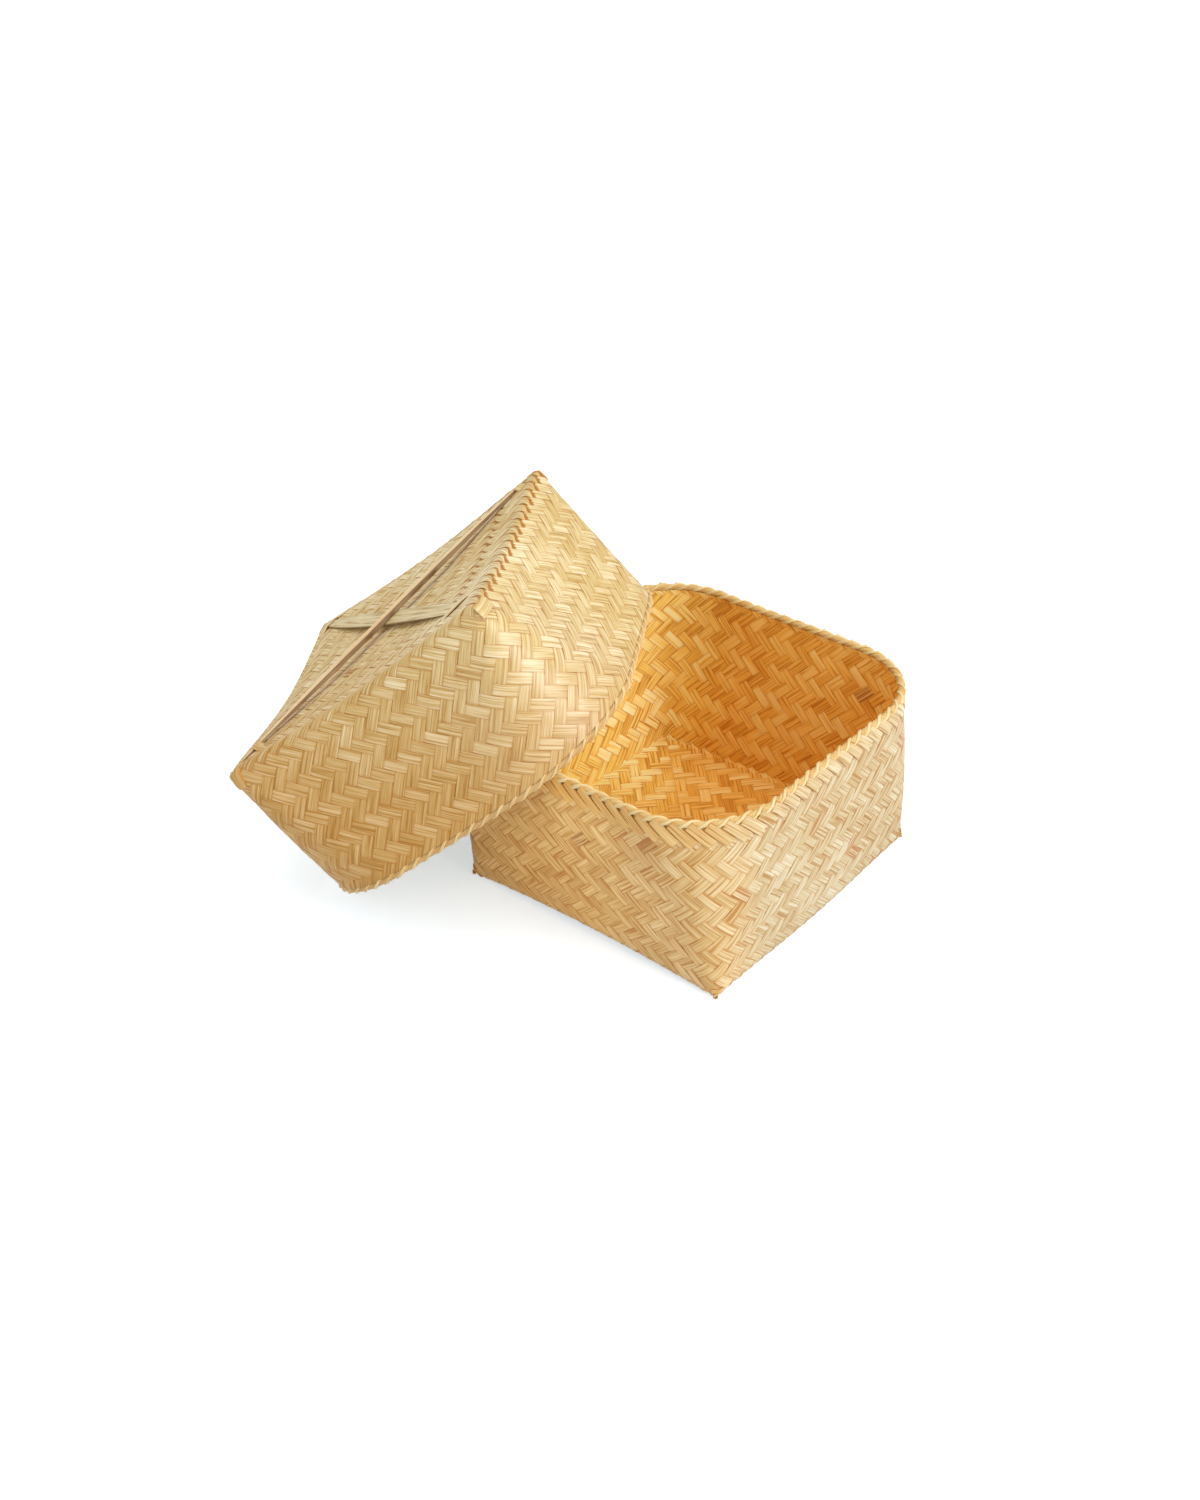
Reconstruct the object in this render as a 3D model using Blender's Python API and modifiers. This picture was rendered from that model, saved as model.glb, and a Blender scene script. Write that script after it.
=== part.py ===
"""Plaited bamboo storage box with its lid leaning on it.

Both halves are made the same way: a square floor of strips plaited on the bias, walls that open
out from four pointed corners to a rounded rim, a second woven layer inside the first, and a rim
of folded strips finished with a two-strand rope. The lid has two splints across its closed face.

Units are metres and +Z is up. The origin is the middle of the box's underside, on the surface
that the box stands on, and the box's sides run along X and Y. The lid lies with its mouth edge
on that surface and on two stretches of the box's rim, and its lean is worked out from the sizes.
"""

import math
from dataclasses import dataclass

import bmesh
import bpy
import numpy as np
from mathutils import Matrix, Vector

# Strips and clearances
STRIP_WIDTH = 0.006
STRIP_THICKNESS = 0.0005
SEAT_GAP = 0.0003

# Both halves
POINTED_CORNER_RADIUS = 0.004
FLOOR_FOLD_RADIUS = 0.0028

# Box
BOX_FLOOR_SIDE = 0.162
BOX_RIM_SIDE = 0.1825
BOX_HEIGHT = 0.1016
BOX_RIM_CORNER_RADIUS = 0.046
BOX_WALL_BELLY = 0.0012

# Lid
LID_TOP_SIDE = 0.1642
LID_RIM_SIDE = 0.197
LID_HEIGHT = 0.0866
LID_RIM_CORNER_RADIUS = 0.062
LID_WALL_BELLY = 0.0012
LID_EDGE_ARCH = 0.004
LID_FACE_DISH = 0.0045

# Rim rope, whose two strands make an oval section that turns once a pair of lobes
ROPE_LONG_RADIUS = 0.0016
ROPE_SHORT_RADIUS = 0.00115

# Folded strips under the rope
FOLD_LENGTH = 0.0105
FOLD_WIDTH = 0.0046
FOLD_POINT = 0.0012
FOLD_BAND = 0.0010
FOLD_DROP = 0.0002
FOLD_GAP_INSIDE = 0.0005

# Strip ends wrapped round the pointed corners
TIP_ARM = 0.009
TIP_HEIGHT = 0.0055

# Splints across the lid's closed face
LONG_SPLINT_WIDTH = 0.0046
LONG_SPLINT_HEIGHT = 0.0019
LONG_SPLINT_END_MARGIN = 0.008
LONG_SPLINT_HEADING = math.radians(-45)
CROSS_SPLINT_WIDTH = 0.0074
CROSS_SPLINT_THICKNESS = 0.0008
CROSS_SPLINT_END_MARGIN = 0.009
CROSS_SPLINT_HEADING = math.radians(45)
KEEPER_INSET = 0.011
KEEPER_SIDE_REACH = 0.006

# How the lid lies: the way its mouth rises over the box, and where the mouth's middle is in plan,
# measured from the box's nearest rounded rim corner
LID_HEADING = math.radians(34.9)
LID_MIDDLE_ALONG_X = -0.0167
LID_MIDDLE_ALONG_Y = 0.0360
LID_FLOOR_GAP = 0.0003
LID_REST_GAP = 0.0003

# Facets
CORNER_STEPS = 8
ARCHED_SIDE_STEPS = 4
WALL_RINGS = 3
FOLD_RINGS = 2
ROPE_SIDES = 6
ROPE_STEPS_PER_LOBE = 3
TIP_STEPS = 6
SPLINT_STEPS = 12
SETTLE_SAMPLES = 240
SETTLE_ROUNDS = 22

# Worked out from the sizes above
LAYER_THICKNESS = 2 * STRIP_THICKNESS
LINING_INSET = LAYER_THICKNESS + SEAT_GAP
DOUBLE_WALL = 2 * LAYER_THICKNESS + SEAT_GAP
LOBE_PITCH = math.sqrt(2) * STRIP_WIDTH

# Share of the closed face, from its middle, that lies flat at the bottom of its dish
DISH_FLAT_SHARE = 0.36

MODEL_NAME = "bamboo_storage_box"


@dataclass(frozen=True)
class Basket:
    """One half of the box, seen with its closed face down and its mouth up.

    The corners of the closed face lie at z = 0. The middles of its edges stand back from there by
    edge_arch, and the middle of the face by face_dish.
    """

    floor_side: float
    rim_side: float
    height: float
    rim_corner_radius: float
    belly: float
    edge_arch: float = 0.0
    face_dish: float = 0.0

    @property
    def wall_height(self) -> float:
        """Height of the woven wall, below the rope."""
        return self.height - 2 * ROPE_LONG_RADIUS - SEAT_GAP

    @property
    def rope_height(self) -> float:
        """Height of the rope's middle line."""
        return self.height - ROPE_LONG_RADIUS

    def half_side(self, z: float, inset: float) -> float:
        """Half the width across the flats at height z, drawn in by inset."""
        share = min(max(z / self.wall_height, 0.0), 1.0)
        straight = self.floor_side + (self.rim_side - self.floor_side) * share
        return straight / 2 + self.belly * math.sin(math.pi * share) - inset

    def corner_radius(self, z: float, inset: float) -> float:
        """Radius of the rounded corner at height z, drawn in by inset."""
        share = min(max(z / self.wall_height, 0.0), 1.0)
        growth = self.rim_corner_radius - POINTED_CORNER_RADIUS
        return POINTED_CORNER_RADIUS + growth * share - inset

    def perimeter(self, z: float, inset: float = 0.0) -> float:
        """Length round the wall at height z."""
        radius = self.corner_radius(z, inset)
        return 8 * (self.half_side(z, inset) - radius) + 2 * math.pi * radius

    def rise(self, x: float, y: float, z: float) -> float:
        """How far the dished closed face, or the wall above it, stands back at a place."""
        reach = max(abs(x), abs(y))
        arch = self.edge_arch * (1 - (min(abs(x), abs(y)) / reach) ** 2)
        if z > FLOOR_FOLD_RADIUS:
            return arch * max((self.wall_height - z) / (self.wall_height - FLOOR_FOLD_RADIUS), 0.0) ** 3
        edge = self.half_side(FLOOR_FOLD_RADIUS, FLOOR_FOLD_RADIUS)
        inward = min(max(1 - reach / edge, 0.0) / (1 - DISH_FLAT_SHARE), 1.0)
        return arch * (1 - inward) + self.face_dish * inward

    def wall_point(self, share: float, z: float, outward: float) -> Vector:
        """Point on the wall, share of the way round from the middle of the +X side.

        The point lies outward of the wall's outer face by the given distance.
        """
        radius = self.corner_radius(z, 0.0)
        half = self.half_side(z, 0.0)
        flat = half - radius
        quarter = self.perimeter(z) / 4
        along = (share % 1.0) * 4 * quarter
        turn = int(along // quarter)
        along -= turn * quarter
        if along < flat:
            spot, normal = Vector((half, along, 0)), Vector((1, 0, 0))
        elif along < flat + radius * math.pi / 2:
            angle = (along - flat) / radius
            normal = Vector((math.cos(angle), math.sin(angle), 0))
            spot = Vector((flat, flat, 0)) + radius * normal
        else:
            spot = Vector((flat - (along - flat - radius * math.pi / 2), half, 0))
            normal = Vector((0, 1, 0))
        spot = Matrix.Rotation(turn * math.pi / 2, 3, "Z") @ (spot + outward * normal)
        spot.z = z + self.rise(spot.x, spot.y, z)
        return spot

    def rope_lobes(self) -> int:
        """Number of lobes on the rope, even, so that the two strands close."""
        length = self.perimeter(self.wall_height, DOUBLE_WALL / 2)
        return 2 * round(length / (2 * LOBE_PITCH))

    def rope_line(self, count: int) -> list[Vector]:
        """Points along the middle of the rope, over the middle of the double wall."""
        points = []
        for step in range(count):
            spot = self.wall_point(step / count, self.wall_height, -DOUBLE_WALL / 2)
            spot.z = self.rope_height
            points.append(spot)
        return points


BOX = Basket(BOX_FLOOR_SIDE, BOX_RIM_SIDE, BOX_HEIGHT, BOX_RIM_CORNER_RADIUS, BOX_WALL_BELLY)
LID = Basket(
    LID_TOP_SIDE, LID_RIM_SIDE, LID_HEIGHT, LID_RIM_CORNER_RADIUS, LID_WALL_BELLY,
    LID_EDGE_ARCH, LID_FACE_DISH,
)


def clear_scene() -> None:
    """Remove every object of the open file."""
    for thing in list(bpy.data.objects):
        bpy.data.objects.remove(thing, do_unlink=True)


def new_collection(name: str) -> bpy.types.Collection:
    """Collection linked to the scene."""
    group = bpy.data.collections.new(name)
    bpy.context.scene.collection.children.link(group)
    return group


def make_material(name: str, colour: tuple[float, float, float], roughness: float) -> bpy.types.Material:
    """Plain bamboo finish of one colour."""
    material = bpy.data.materials.new(name)
    material.use_nodes = True
    shader = material.node_tree.nodes["Principled BSDF"]
    shader.inputs["Base Color"].default_value = (*colour, 1.0)
    shader.inputs["Roughness"].default_value = roughness
    shader.inputs["Metallic"].default_value = 0.0
    return material


def add_object(name: str, data, group, parent, material=None):
    """Object in a collection, under the empty that places its half of the box."""
    thing = bpy.data.objects.new(name, data)
    group.objects.link(thing)
    thing.parent = parent
    if material:
        data.materials.append(material)
    return thing


def rounded_square(basket: Basket, half: float, radius: float, z: float) -> list[Vector]:
    """Section of a basket, with the same number of points whatever its corner radius."""
    side_steps = ARCHED_SIDE_STEPS if basket.edge_arch else 1
    flat = half - radius
    points = []
    for corner in range(4):
        turn = Matrix.Rotation(corner * math.pi / 2, 3, "Z")
        for step in range(CORNER_STEPS + 1):
            angle = step / CORNER_STEPS * math.pi / 2
            x, y = flat + radius * math.cos(angle), flat + radius * math.sin(angle)
            points.append(turn @ Vector((x, y, z)))
        for step in range(1, side_steps):
            points.append(turn @ Vector((flat * (1 - 2 * step / side_steps), half, z)))
    for point in points:
        point.z += basket.rise(point.x, point.y, z)
    return points


def shell_sections(basket: Basket, inset: float) -> list[list[Vector]]:
    """Sections of one woven layer's outer face, from its floor up to its edge."""
    fold = FLOOR_FOLD_RADIUS - inset
    sections = []
    if basket.face_dish:
        half = basket.half_side(FLOOR_FOLD_RADIUS, FLOOR_FOLD_RADIUS) * DISH_FLAT_SHARE
        sections.append(rounded_square(basket, half, half / CORNER_STEPS, inset))
    for step in range(FOLD_RINGS):
        angle = step / FOLD_RINGS * math.pi / 2
        drawn_in = inset + fold * (1 - math.sin(angle))
        z = inset + fold * (1 - math.cos(angle))
        half = basket.half_side(FLOOR_FOLD_RADIUS, drawn_in)
        radius = basket.corner_radius(FLOOR_FOLD_RADIUS, drawn_in)
        sections.append(rounded_square(basket, half, radius, z))
    for step in range(WALL_RINGS + 1):
        z = FLOOR_FOLD_RADIUS + (basket.wall_height - FLOOR_FOLD_RADIUS) * step / WALL_RINGS
        sections.append(rounded_square(basket, basket.half_side(z, inset), basket.corner_radius(z, inset), z))
    return sections


def add_layer(name: str, basket: Basket, inset: float, group, parent, material):
    """One woven layer: a loft from the pointed floor to the rounded rim, given its thickness inwards."""
    sections = shell_sections(basket, inset)
    build = bmesh.new()
    rings = [[build.verts.new(point) for point in section] for section in sections]
    for lower, upper in zip(rings, rings[1:]):
        for index in range(len(lower)):
            following = (index + 1) % len(lower)
            build.faces.new((lower[index], lower[following], upper[following], upper[index]))
    build.faces.new(list(reversed(rings[0])))
    mesh = bpy.data.meshes.new(name)
    build.to_mesh(mesh)
    build.free()
    layer = add_object(name, mesh, group, parent, material)
    wall = layer.modifiers.new("woven_thickness", "SOLIDIFY")
    wall.thickness = LAYER_THICKNESS
    wall.offset = -1.0
    wall.use_even_offset = True
    return layer


def add_profile(name: str, outline: list[tuple[float, float]], group, parent):
    """Closed outline that a swept piece follows."""
    data = bpy.data.curves.new(name, "CURVE")
    data.dimensions = "2D"
    data.fill_mode = "NONE"
    spline = data.splines.new("POLY")
    spline.points.add(len(outline) - 1)
    for point, (across, up) in zip(spline.points, reversed(outline)):
        point.co = (across, up, 0, 1)
    spline.use_cyclic_u = True
    profile = add_object(name, data, group, parent)
    profile.hide_render = True
    profile.display_type = "WIRE"
    return profile


def add_sweep(name: str, line: list[Vector], profile, group, parent, material, tilts=None, sizes=None):
    """Swept piece along a line of points, closed on itself where tilts are given."""
    data = bpy.data.curves.new(name, "CURVE")
    data.dimensions = "3D"
    data.twist_mode = "Z_UP"
    data.bevel_mode = "OBJECT"
    data.bevel_object = profile
    data.use_fill_caps = tilts is None
    spline = data.splines.new("POLY")
    spline.points.add(len(line) - 1)
    for index, (point, spot) in enumerate(zip(spline.points, line)):
        point.co = (*spot, 1)
        if tilts:
            point.tilt = tilts[index]
        if sizes:
            point.radius = sizes[index]
    spline.use_cyclic_u = tilts is not None
    return add_object(name, data, group, parent, material)


def add_rope(name: str, basket: Basket, group, guides, parent, material):
    """Two-strand rope along the rim: an oval section that turns half round in each lobe."""
    outline = []
    for side in range(ROPE_SIDES):
        angle = side / ROPE_SIDES * 2 * math.pi
        outline.append((ROPE_LONG_RADIUS * math.cos(angle), ROPE_SHORT_RADIUS * math.sin(angle)))
    profile = add_profile(name + "_section", outline, guides, parent)
    count = basket.rope_lobes() * ROPE_STEPS_PER_LOBE
    tilts = [index / ROPE_STEPS_PER_LOBE * math.pi for index in range(count)]
    return add_sweep(name, basket.rope_line(count), profile, group, parent, material, tilts=tilts)


def solid_from_faces(name: str, corners: list[Vector], faces: list[tuple[int, ...]], group, parent, material):
    """Closed piece from its corners and faces, turned so that the faces point out."""
    build = bmesh.new()
    spots = [build.verts.new(corner) for corner in corners]
    for face in faces:
        build.faces.new([spots[index] for index in face])
    bmesh.ops.recalc_face_normals(build, faces=build.faces)
    mesh = bpy.data.meshes.new(name)
    build.to_mesh(mesh)
    build.free()
    return add_object(name, mesh, group, parent, material)


def add_rim_folds(name: str, basket: Basket, faces_out: bool, group, parent, material):
    """Border of strips folded over the rim: a band with one slanted leaf to each lobe of the rope.

    Each leaf hangs from the band, runs down to the right and ends in a point. The faces are made
    here because the band wraps a wall whose section changes, and the leaves lean along it.
    """
    count = basket.rope_lobes()
    near_depth = SEAT_GAP if faces_out else -(DOUBLE_WALL + FOLD_GAP_INSIDE)
    far_depth = near_depth + math.copysign(STRIP_THICKNESS, near_depth)
    pitch = basket.perimeter(basket.wall_height) / count
    band_top = basket.wall_height - FOLD_DROP
    band_foot = band_top - FOLD_BAND
    root = min(math.sqrt(2) * FOLD_WIDTH, pitch - STRIP_THICKNESS)
    drop = FOLD_LENGTH * math.sqrt(0.5)
    lean = drop - FOLD_POINT / 2
    outline = (
        (0.0, band_top), (root, band_top), (0.0, band_foot), (root, band_foot),
        (lean, band_foot - drop + FOLD_POINT), (lean + root / 2, band_foot - drop),
        (root + lean / 2, band_foot - lean / 2),
    )
    step = 2 * len(outline)
    corners = []
    for index in range(count):
        for depth in (near_depth, far_depth):
            for right, z in outline:
                share = (index + right / pitch) / count
                corners.append(basket.wall_point(share, z, depth))
    faces = []
    for index in range(count):
        this, after = index * step, (index + 1) % count * step
        layers = []
        for side in (0, len(outline)):
            spot = [this + side + corner for corner in range(len(outline))]
            next_top, next_foot = after + side, after + side + 2
            faces.append((spot[0], spot[2], spot[3], spot[1]))
            faces.append((spot[1], spot[3], next_foot, next_top))
            faces.append((spot[2], spot[4], spot[5], spot[6], spot[3]))
            layers.append((spot[0], spot[1], next_top, spot[2], spot[4], spot[5], spot[6], spot[3], next_foot))
        near, far = layers
        for start, end in ((0, 1), (1, 2), (3, 4), (4, 5), (5, 6), (6, 7), (7, 8)):
            faces.append((near[start], near[end], far[end], far[start]))
    return solid_from_faces(name, corners, faces, group, parent, material)


def add_corner_tip(name: str, basket: Basket, corner: int, group, parent, material):
    """Strip end wrapped round one pointed corner, tallest on the corner itself."""
    low = FLOOR_FOLD_RADIUS
    corners, faces = [], []
    for column in range(TIP_STEPS + 1):
        offset = 2 * column / TIP_STEPS - 1
        rise = STRIP_THICKNESS + (TIP_HEIGHT - STRIP_THICKNESS) * (1 - abs(offset))
        share = (corner + 0.5) / 4 + offset * TIP_ARM / basket.perimeter(low)
        for z, depth in ((low, 0), (low, STRIP_THICKNESS), (low + rise, STRIP_THICKNESS), (low + rise, 0)):
            corners.append(basket.wall_point(share, z, SEAT_GAP + depth))
    for column in range(TIP_STEPS):
        first = 4 * column
        for side in range(4):
            following = (side + 1) % 4
            faces.append((first + side, first + following, first + 4 + following, first + 4 + side))
    faces.append((0, 1, 2, 3))
    last = len(corners) - 4
    faces.append((last, last + 1, last + 2, last + 3))
    return solid_from_faces(name, corners, faces, group, parent, material)


def face_height(x: float, y: float) -> float:
    """How far the lid's closed face stands out from the level of its corners at a place on it."""
    return -LID.rise(x, y, 0.0)


def splint_line(half_length: float, heights, towards: float) -> list[Vector]:
    """Points along a diagonal of the lid's closed face, standing out by the given heights."""
    way = Vector((math.cos(towards), math.sin(towards), 0))
    points = []
    for step in range(SPLINT_STEPS + 1):
        share = 2 * step / SPLINT_STEPS - 1
        points.append(way * half_length * share + Vector((0, 0, -heights(share))))
    return points


def add_splints(group, guides, parent, straw, pale):
    """Long half-round splint, flat cross splint under it and the strips that hold their ends."""
    corner_reach = LID.half_side(0, 0) * math.sqrt(2) - POINTED_CORNER_RADIUS * (math.sqrt(2) - 1)
    cross_half = corner_reach - CROSS_SPLINT_END_MARGIN
    long_half = corner_reach - LONG_SPLINT_END_MARGIN

    def cross_foot(share: float) -> float:
        """Height of the cross splint's underside, which follows the dished face."""
        along = max(abs(share), 1 / SPLINT_STEPS) * cross_half * math.sqrt(0.5)
        return SEAT_GAP + face_height(along, along)

    long_end = SEAT_GAP + face_height(long_half * math.sqrt(0.5), long_half * math.sqrt(0.5))
    long_middle = cross_foot(0.0) + CROSS_SPLINT_THICKNESS + SEAT_GAP

    def long_foot(share: float) -> float:
        """Height of the long splint's underside, which sags from the face's corners to the cross splint."""
        return long_end + (long_middle - long_end) * (1 - share ** 2)

    half_wide, half_thick = CROSS_SPLINT_WIDTH / 2, CROSS_SPLINT_THICKNESS / 2
    flat = [(half_wide, half_thick), (-half_wide, half_thick), (-half_wide, -half_thick), (half_wide, -half_thick)]
    cross_section = add_profile("cross_splint_section", flat, guides, parent)
    line = splint_line(cross_half, lambda share: cross_foot(share) + half_thick, CROSS_SPLINT_HEADING)
    sizes = [1.0 - 0.3 * abs(2 * step / SPLINT_STEPS - 1) ** 6 for step in range(SPLINT_STEPS + 1)]
    add_sweep("lid_cross_splint", line, cross_section, group, parent, straw, sizes=sizes)

    round_side = []
    for step in range(5):
        angle = math.pi * (1 + step / 4)
        round_side.append((LONG_SPLINT_WIDTH / 2 * math.cos(angle), LONG_SPLINT_HEIGHT * math.sin(angle)))
    long_section = add_profile("long_splint_section", round_side, guides, parent)
    line = splint_line(long_half, long_foot, LONG_SPLINT_HEADING)
    add_sweep("lid_long_splint", line, long_section, group, parent, pale)

    half_strip = STRIP_WIDTH / 2
    half_thin = STRIP_THICKNESS / 2
    strip = [(half_strip, half_thin), (-half_strip, half_thin), (-half_strip, -half_thin), (half_strip, -half_thin)]
    keeper_section = add_profile("keeper_section", strip, guides, parent)
    for name, towards, half, width, height, foot in (
        ("long", LONG_SPLINT_HEADING, long_half, LONG_SPLINT_WIDTH, LONG_SPLINT_HEIGHT, long_foot),
        ("cross", CROSS_SPLINT_HEADING, cross_half, CROSS_SPLINT_WIDTH, CROSS_SPLINT_THICKNESS, cross_foot),
    ):
        way = Vector((math.cos(towards), math.sin(towards), 0))
        side = Vector((-way.y, way.x, 0))
        seat = half - KEEPER_INSET
        top = foot(seat / half) + height + SEAT_GAP + half_thin
        edge = width / 2 + SEAT_GAP + half_thin
        climb = height + SEAT_GAP + half_thin

        def keeper_foot(along: float) -> float:
            """Height of the keeper's middle where it lies on the face."""
            edges = [way * (seat + half_strip * sign) + side * along for sign in (-1, 1)]
            return max(face_height(spot.x, spot.y) for spot in edges) + SEAT_GAP + half_thin

        path = [(along, keeper_foot(along)) for along in (-edge - KEEPER_SIDE_REACH, -edge - climb)]
        path += [(-edge, top), (0, top)]
        path += [(-along, z) for along, z in reversed(path[:3])]
        for end in (-1, 1):
            line = [way * seat * end + side * along + Vector((0, 0, -z)) for along, z in path]
            label = f"lid_{name}_keeper_{'a' if end < 0 else 'b'}"
            add_sweep(label, line, keeper_section, group, parent, straw)


def lean_matrix(lean: float, roll: float) -> Matrix:
    """Turn of the lid's mouth plane, whose +Z points to the closed face."""
    heading = Matrix.Rotation(LID_HEADING, 3, "Z")
    return heading @ Matrix.Rotation(-lean, 3, "Y") @ Matrix.Rotation(roll, 3, "X")


def mouth_middle_in_plan() -> Vector:
    """Where the middle of the lid's mouth lies, measured from the box's rounded rim corner."""
    corner = BOX.wall_point(5 / 8, BOX.wall_height, -DOUBLE_WALL / 2)
    return Vector((corner.x + LID_MIDDLE_ALONG_X, corner.y + LID_MIDDLE_ALONG_Y, 0))


def rim_clearances(lean: float, roll: float, box_rim, lid_rim) -> tuple[float, float, float]:
    """Clearance over the box's rope on its two near sides, and the mouth's height above the floor."""
    turned = lid_rim @ np.array(lean_matrix(lean, roll)).T
    middle = mouth_middle_in_plan()
    lift = LID_FLOOR_GAP + ROPE_LONG_RADIUS - turned[:, 2].min()
    turned = turned + np.array((middle.x, middle.y, lift))
    apart = box_rim[:, None, :] - turned[None, :, :]
    distance = np.sqrt((apart ** 2).sum(axis=2))
    sides = []
    for side in (box_rim[:, 0] < box_rim[:, 1], box_rim[:, 0] >= box_rim[:, 1]):
        in_plan = np.hypot(apart[side][:, :, 0], apart[side][:, :, 1])
        row, column = np.unravel_index(in_plan.argmin(), in_plan.shape)
        above = -apart[side][row, column, 2]
        nearest = distance[side].min()
        sides.append(math.copysign(nearest, above) - 2 * ROPE_LONG_RADIUS)
    return sides[0], sides[1], lift


def settle_lid() -> Matrix:
    """Place of the lid: its mouth edge on the floor, leaning on the box's rim at two places."""
    box_rim = np.array(BOX.rope_line(SETTLE_SAMPLES))
    lid_rim = np.array([(p.x, -p.y, ROPE_LONG_RADIUS) for p in LID.rope_line(SETTLE_SAMPLES)])

    def rest(roll: float) -> tuple[float, float, float]:
        low, high = math.radians(2), math.radians(85)
        for _ in range(SETTLE_ROUNDS):
            lean = (low + high) / 2
            first, second, lift = rim_clearances(lean, roll, box_rim, lid_rim)
            if min(first, second) < LID_REST_GAP:
                low = lean
            else:
                high = lean
        return high, first - second, lift

    low, high = math.radians(-12), math.radians(12)
    rising = rest(high)[1] > rest(low)[1]
    for _ in range(SETTLE_ROUNDS):
        roll = (low + high) / 2
        lean, difference, lift = rest(roll)
        if (difference > 0) == rising:
            high = roll
        else:
            low = roll
    middle = mouth_middle_in_plan()
    place = Matrix.Translation((middle.x, middle.y, lift)) @ lean_matrix(lean, roll).to_4x4()
    return place @ Matrix.Rotation(math.pi, 4, "X") @ Matrix.Translation((0, 0, -LID.height))


def main() -> None:
    """Build the box and its lid."""
    clear_scene()
    group = new_collection(MODEL_NAME)
    guides = new_collection("guides")
    outer = make_material("bamboo_outside", (0.76, 0.56, 0.30), 0.45)
    lid_outer = make_material("bamboo_lid_outside", (0.70, 0.52, 0.27), 0.42)
    inner = make_material("bamboo_inside", (0.72, 0.40, 0.12), 0.5)
    straw = make_material("bamboo_strips", (0.74, 0.55, 0.28), 0.45)
    rope = make_material("bamboo_rope", (0.78, 0.58, 0.28), 0.4)
    pale = make_material("bamboo_splint", (0.66, 0.44, 0.20), 0.5)

    box_place = bpy.data.objects.new("box_place", None)
    group.objects.link(box_place)
    lid_place = bpy.data.objects.new("lid_place", None)
    group.objects.link(lid_place)
    lid_place.matrix_world = settle_lid()

    add_layer("base_outer_wall", BOX, 0.0, group, box_place, outer)
    add_layer("base_lining", BOX, LINING_INSET, group, box_place, inner)
    add_rim_folds("base_rim_folds", BOX, True, group, box_place, straw)
    add_rope("base_rim_rope", BOX, group, guides, box_place, rope)
    for corner in range(4):
        add_corner_tip(f"base_corner_tip_{corner + 1}", BOX, corner, group, box_place, straw)

    add_layer("lid_outer_wall", LID, 0.0, group, lid_place, lid_outer)
    add_layer("lid_lining", LID, LINING_INSET, group, lid_place, inner)
    add_rim_folds("lid_rim_folds", LID, False, group, lid_place, straw)
    add_rope("lid_rim_rope", LID, group, guides, lid_place, rope)
    for corner in range(4):
        add_corner_tip(f"lid_corner_tip_{corner + 1}", LID, corner, group, lid_place, straw)
    add_splints(group, guides, lid_place, straw, pale)


main()
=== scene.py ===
"""Looks of the plaited bamboo box: its woven layers, rims, corners, splints and finishes.

Every woven layer is made of real strips. A flat strip is made once for each length by hand
operations, and is then laid on the basket: along a diagonal of the floor, round the fold at the
floor's edge and up the two walls that it reaches, over and under the strips of the other set.
"""

import logging
import math
from dataclasses import dataclass, field
from enum import Enum
from functools import cache
from typing import Any, Callable, ClassVar, Sequence

import bmesh
import bpy
import numpy as np
from mathutils import Matrix, Vector


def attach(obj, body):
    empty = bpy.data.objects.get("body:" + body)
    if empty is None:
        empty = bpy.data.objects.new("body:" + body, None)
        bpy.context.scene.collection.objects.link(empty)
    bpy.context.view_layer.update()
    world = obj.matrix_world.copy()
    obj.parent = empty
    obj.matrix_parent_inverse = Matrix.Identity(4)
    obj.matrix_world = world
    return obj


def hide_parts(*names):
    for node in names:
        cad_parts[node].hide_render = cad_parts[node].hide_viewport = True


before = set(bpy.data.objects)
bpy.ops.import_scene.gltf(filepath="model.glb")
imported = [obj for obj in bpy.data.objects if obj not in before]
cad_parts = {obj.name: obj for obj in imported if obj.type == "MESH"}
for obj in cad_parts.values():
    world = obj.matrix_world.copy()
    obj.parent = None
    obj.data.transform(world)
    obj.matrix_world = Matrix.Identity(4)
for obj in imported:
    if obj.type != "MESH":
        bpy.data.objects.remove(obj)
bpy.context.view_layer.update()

MILLIMETRE = 0.001
ROOT_HALF = math.sqrt(0.5)
TINY = 1e-6
SEED = 41

Colour = tuple[float, float, float]
Place = tuple[float, float, float]
Points = np.ndarray

log = logging.getLogger("bamboo_box")


def mm(*lengths: float) -> tuple[float, ...]:
    """Lengths in metres from lengths in millimetres."""
    return tuple(length * MILLIMETRE for length in lengths)


class Layer(Enum):
    """The two woven layers of a basket, and the side of each that is seen."""

    OUTER = "outer"
    LINING = "lining"


class StripSet(Enum):
    """The two sets of strips of a layer, which cross at right angles."""

    WARP = "warp"
    WEFT = "weft"


class Diagonal(Enum):
    """The two diagonals of the lid's closed face, each with its splint."""

    LONG = "long"
    CROSS = "cross"


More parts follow.
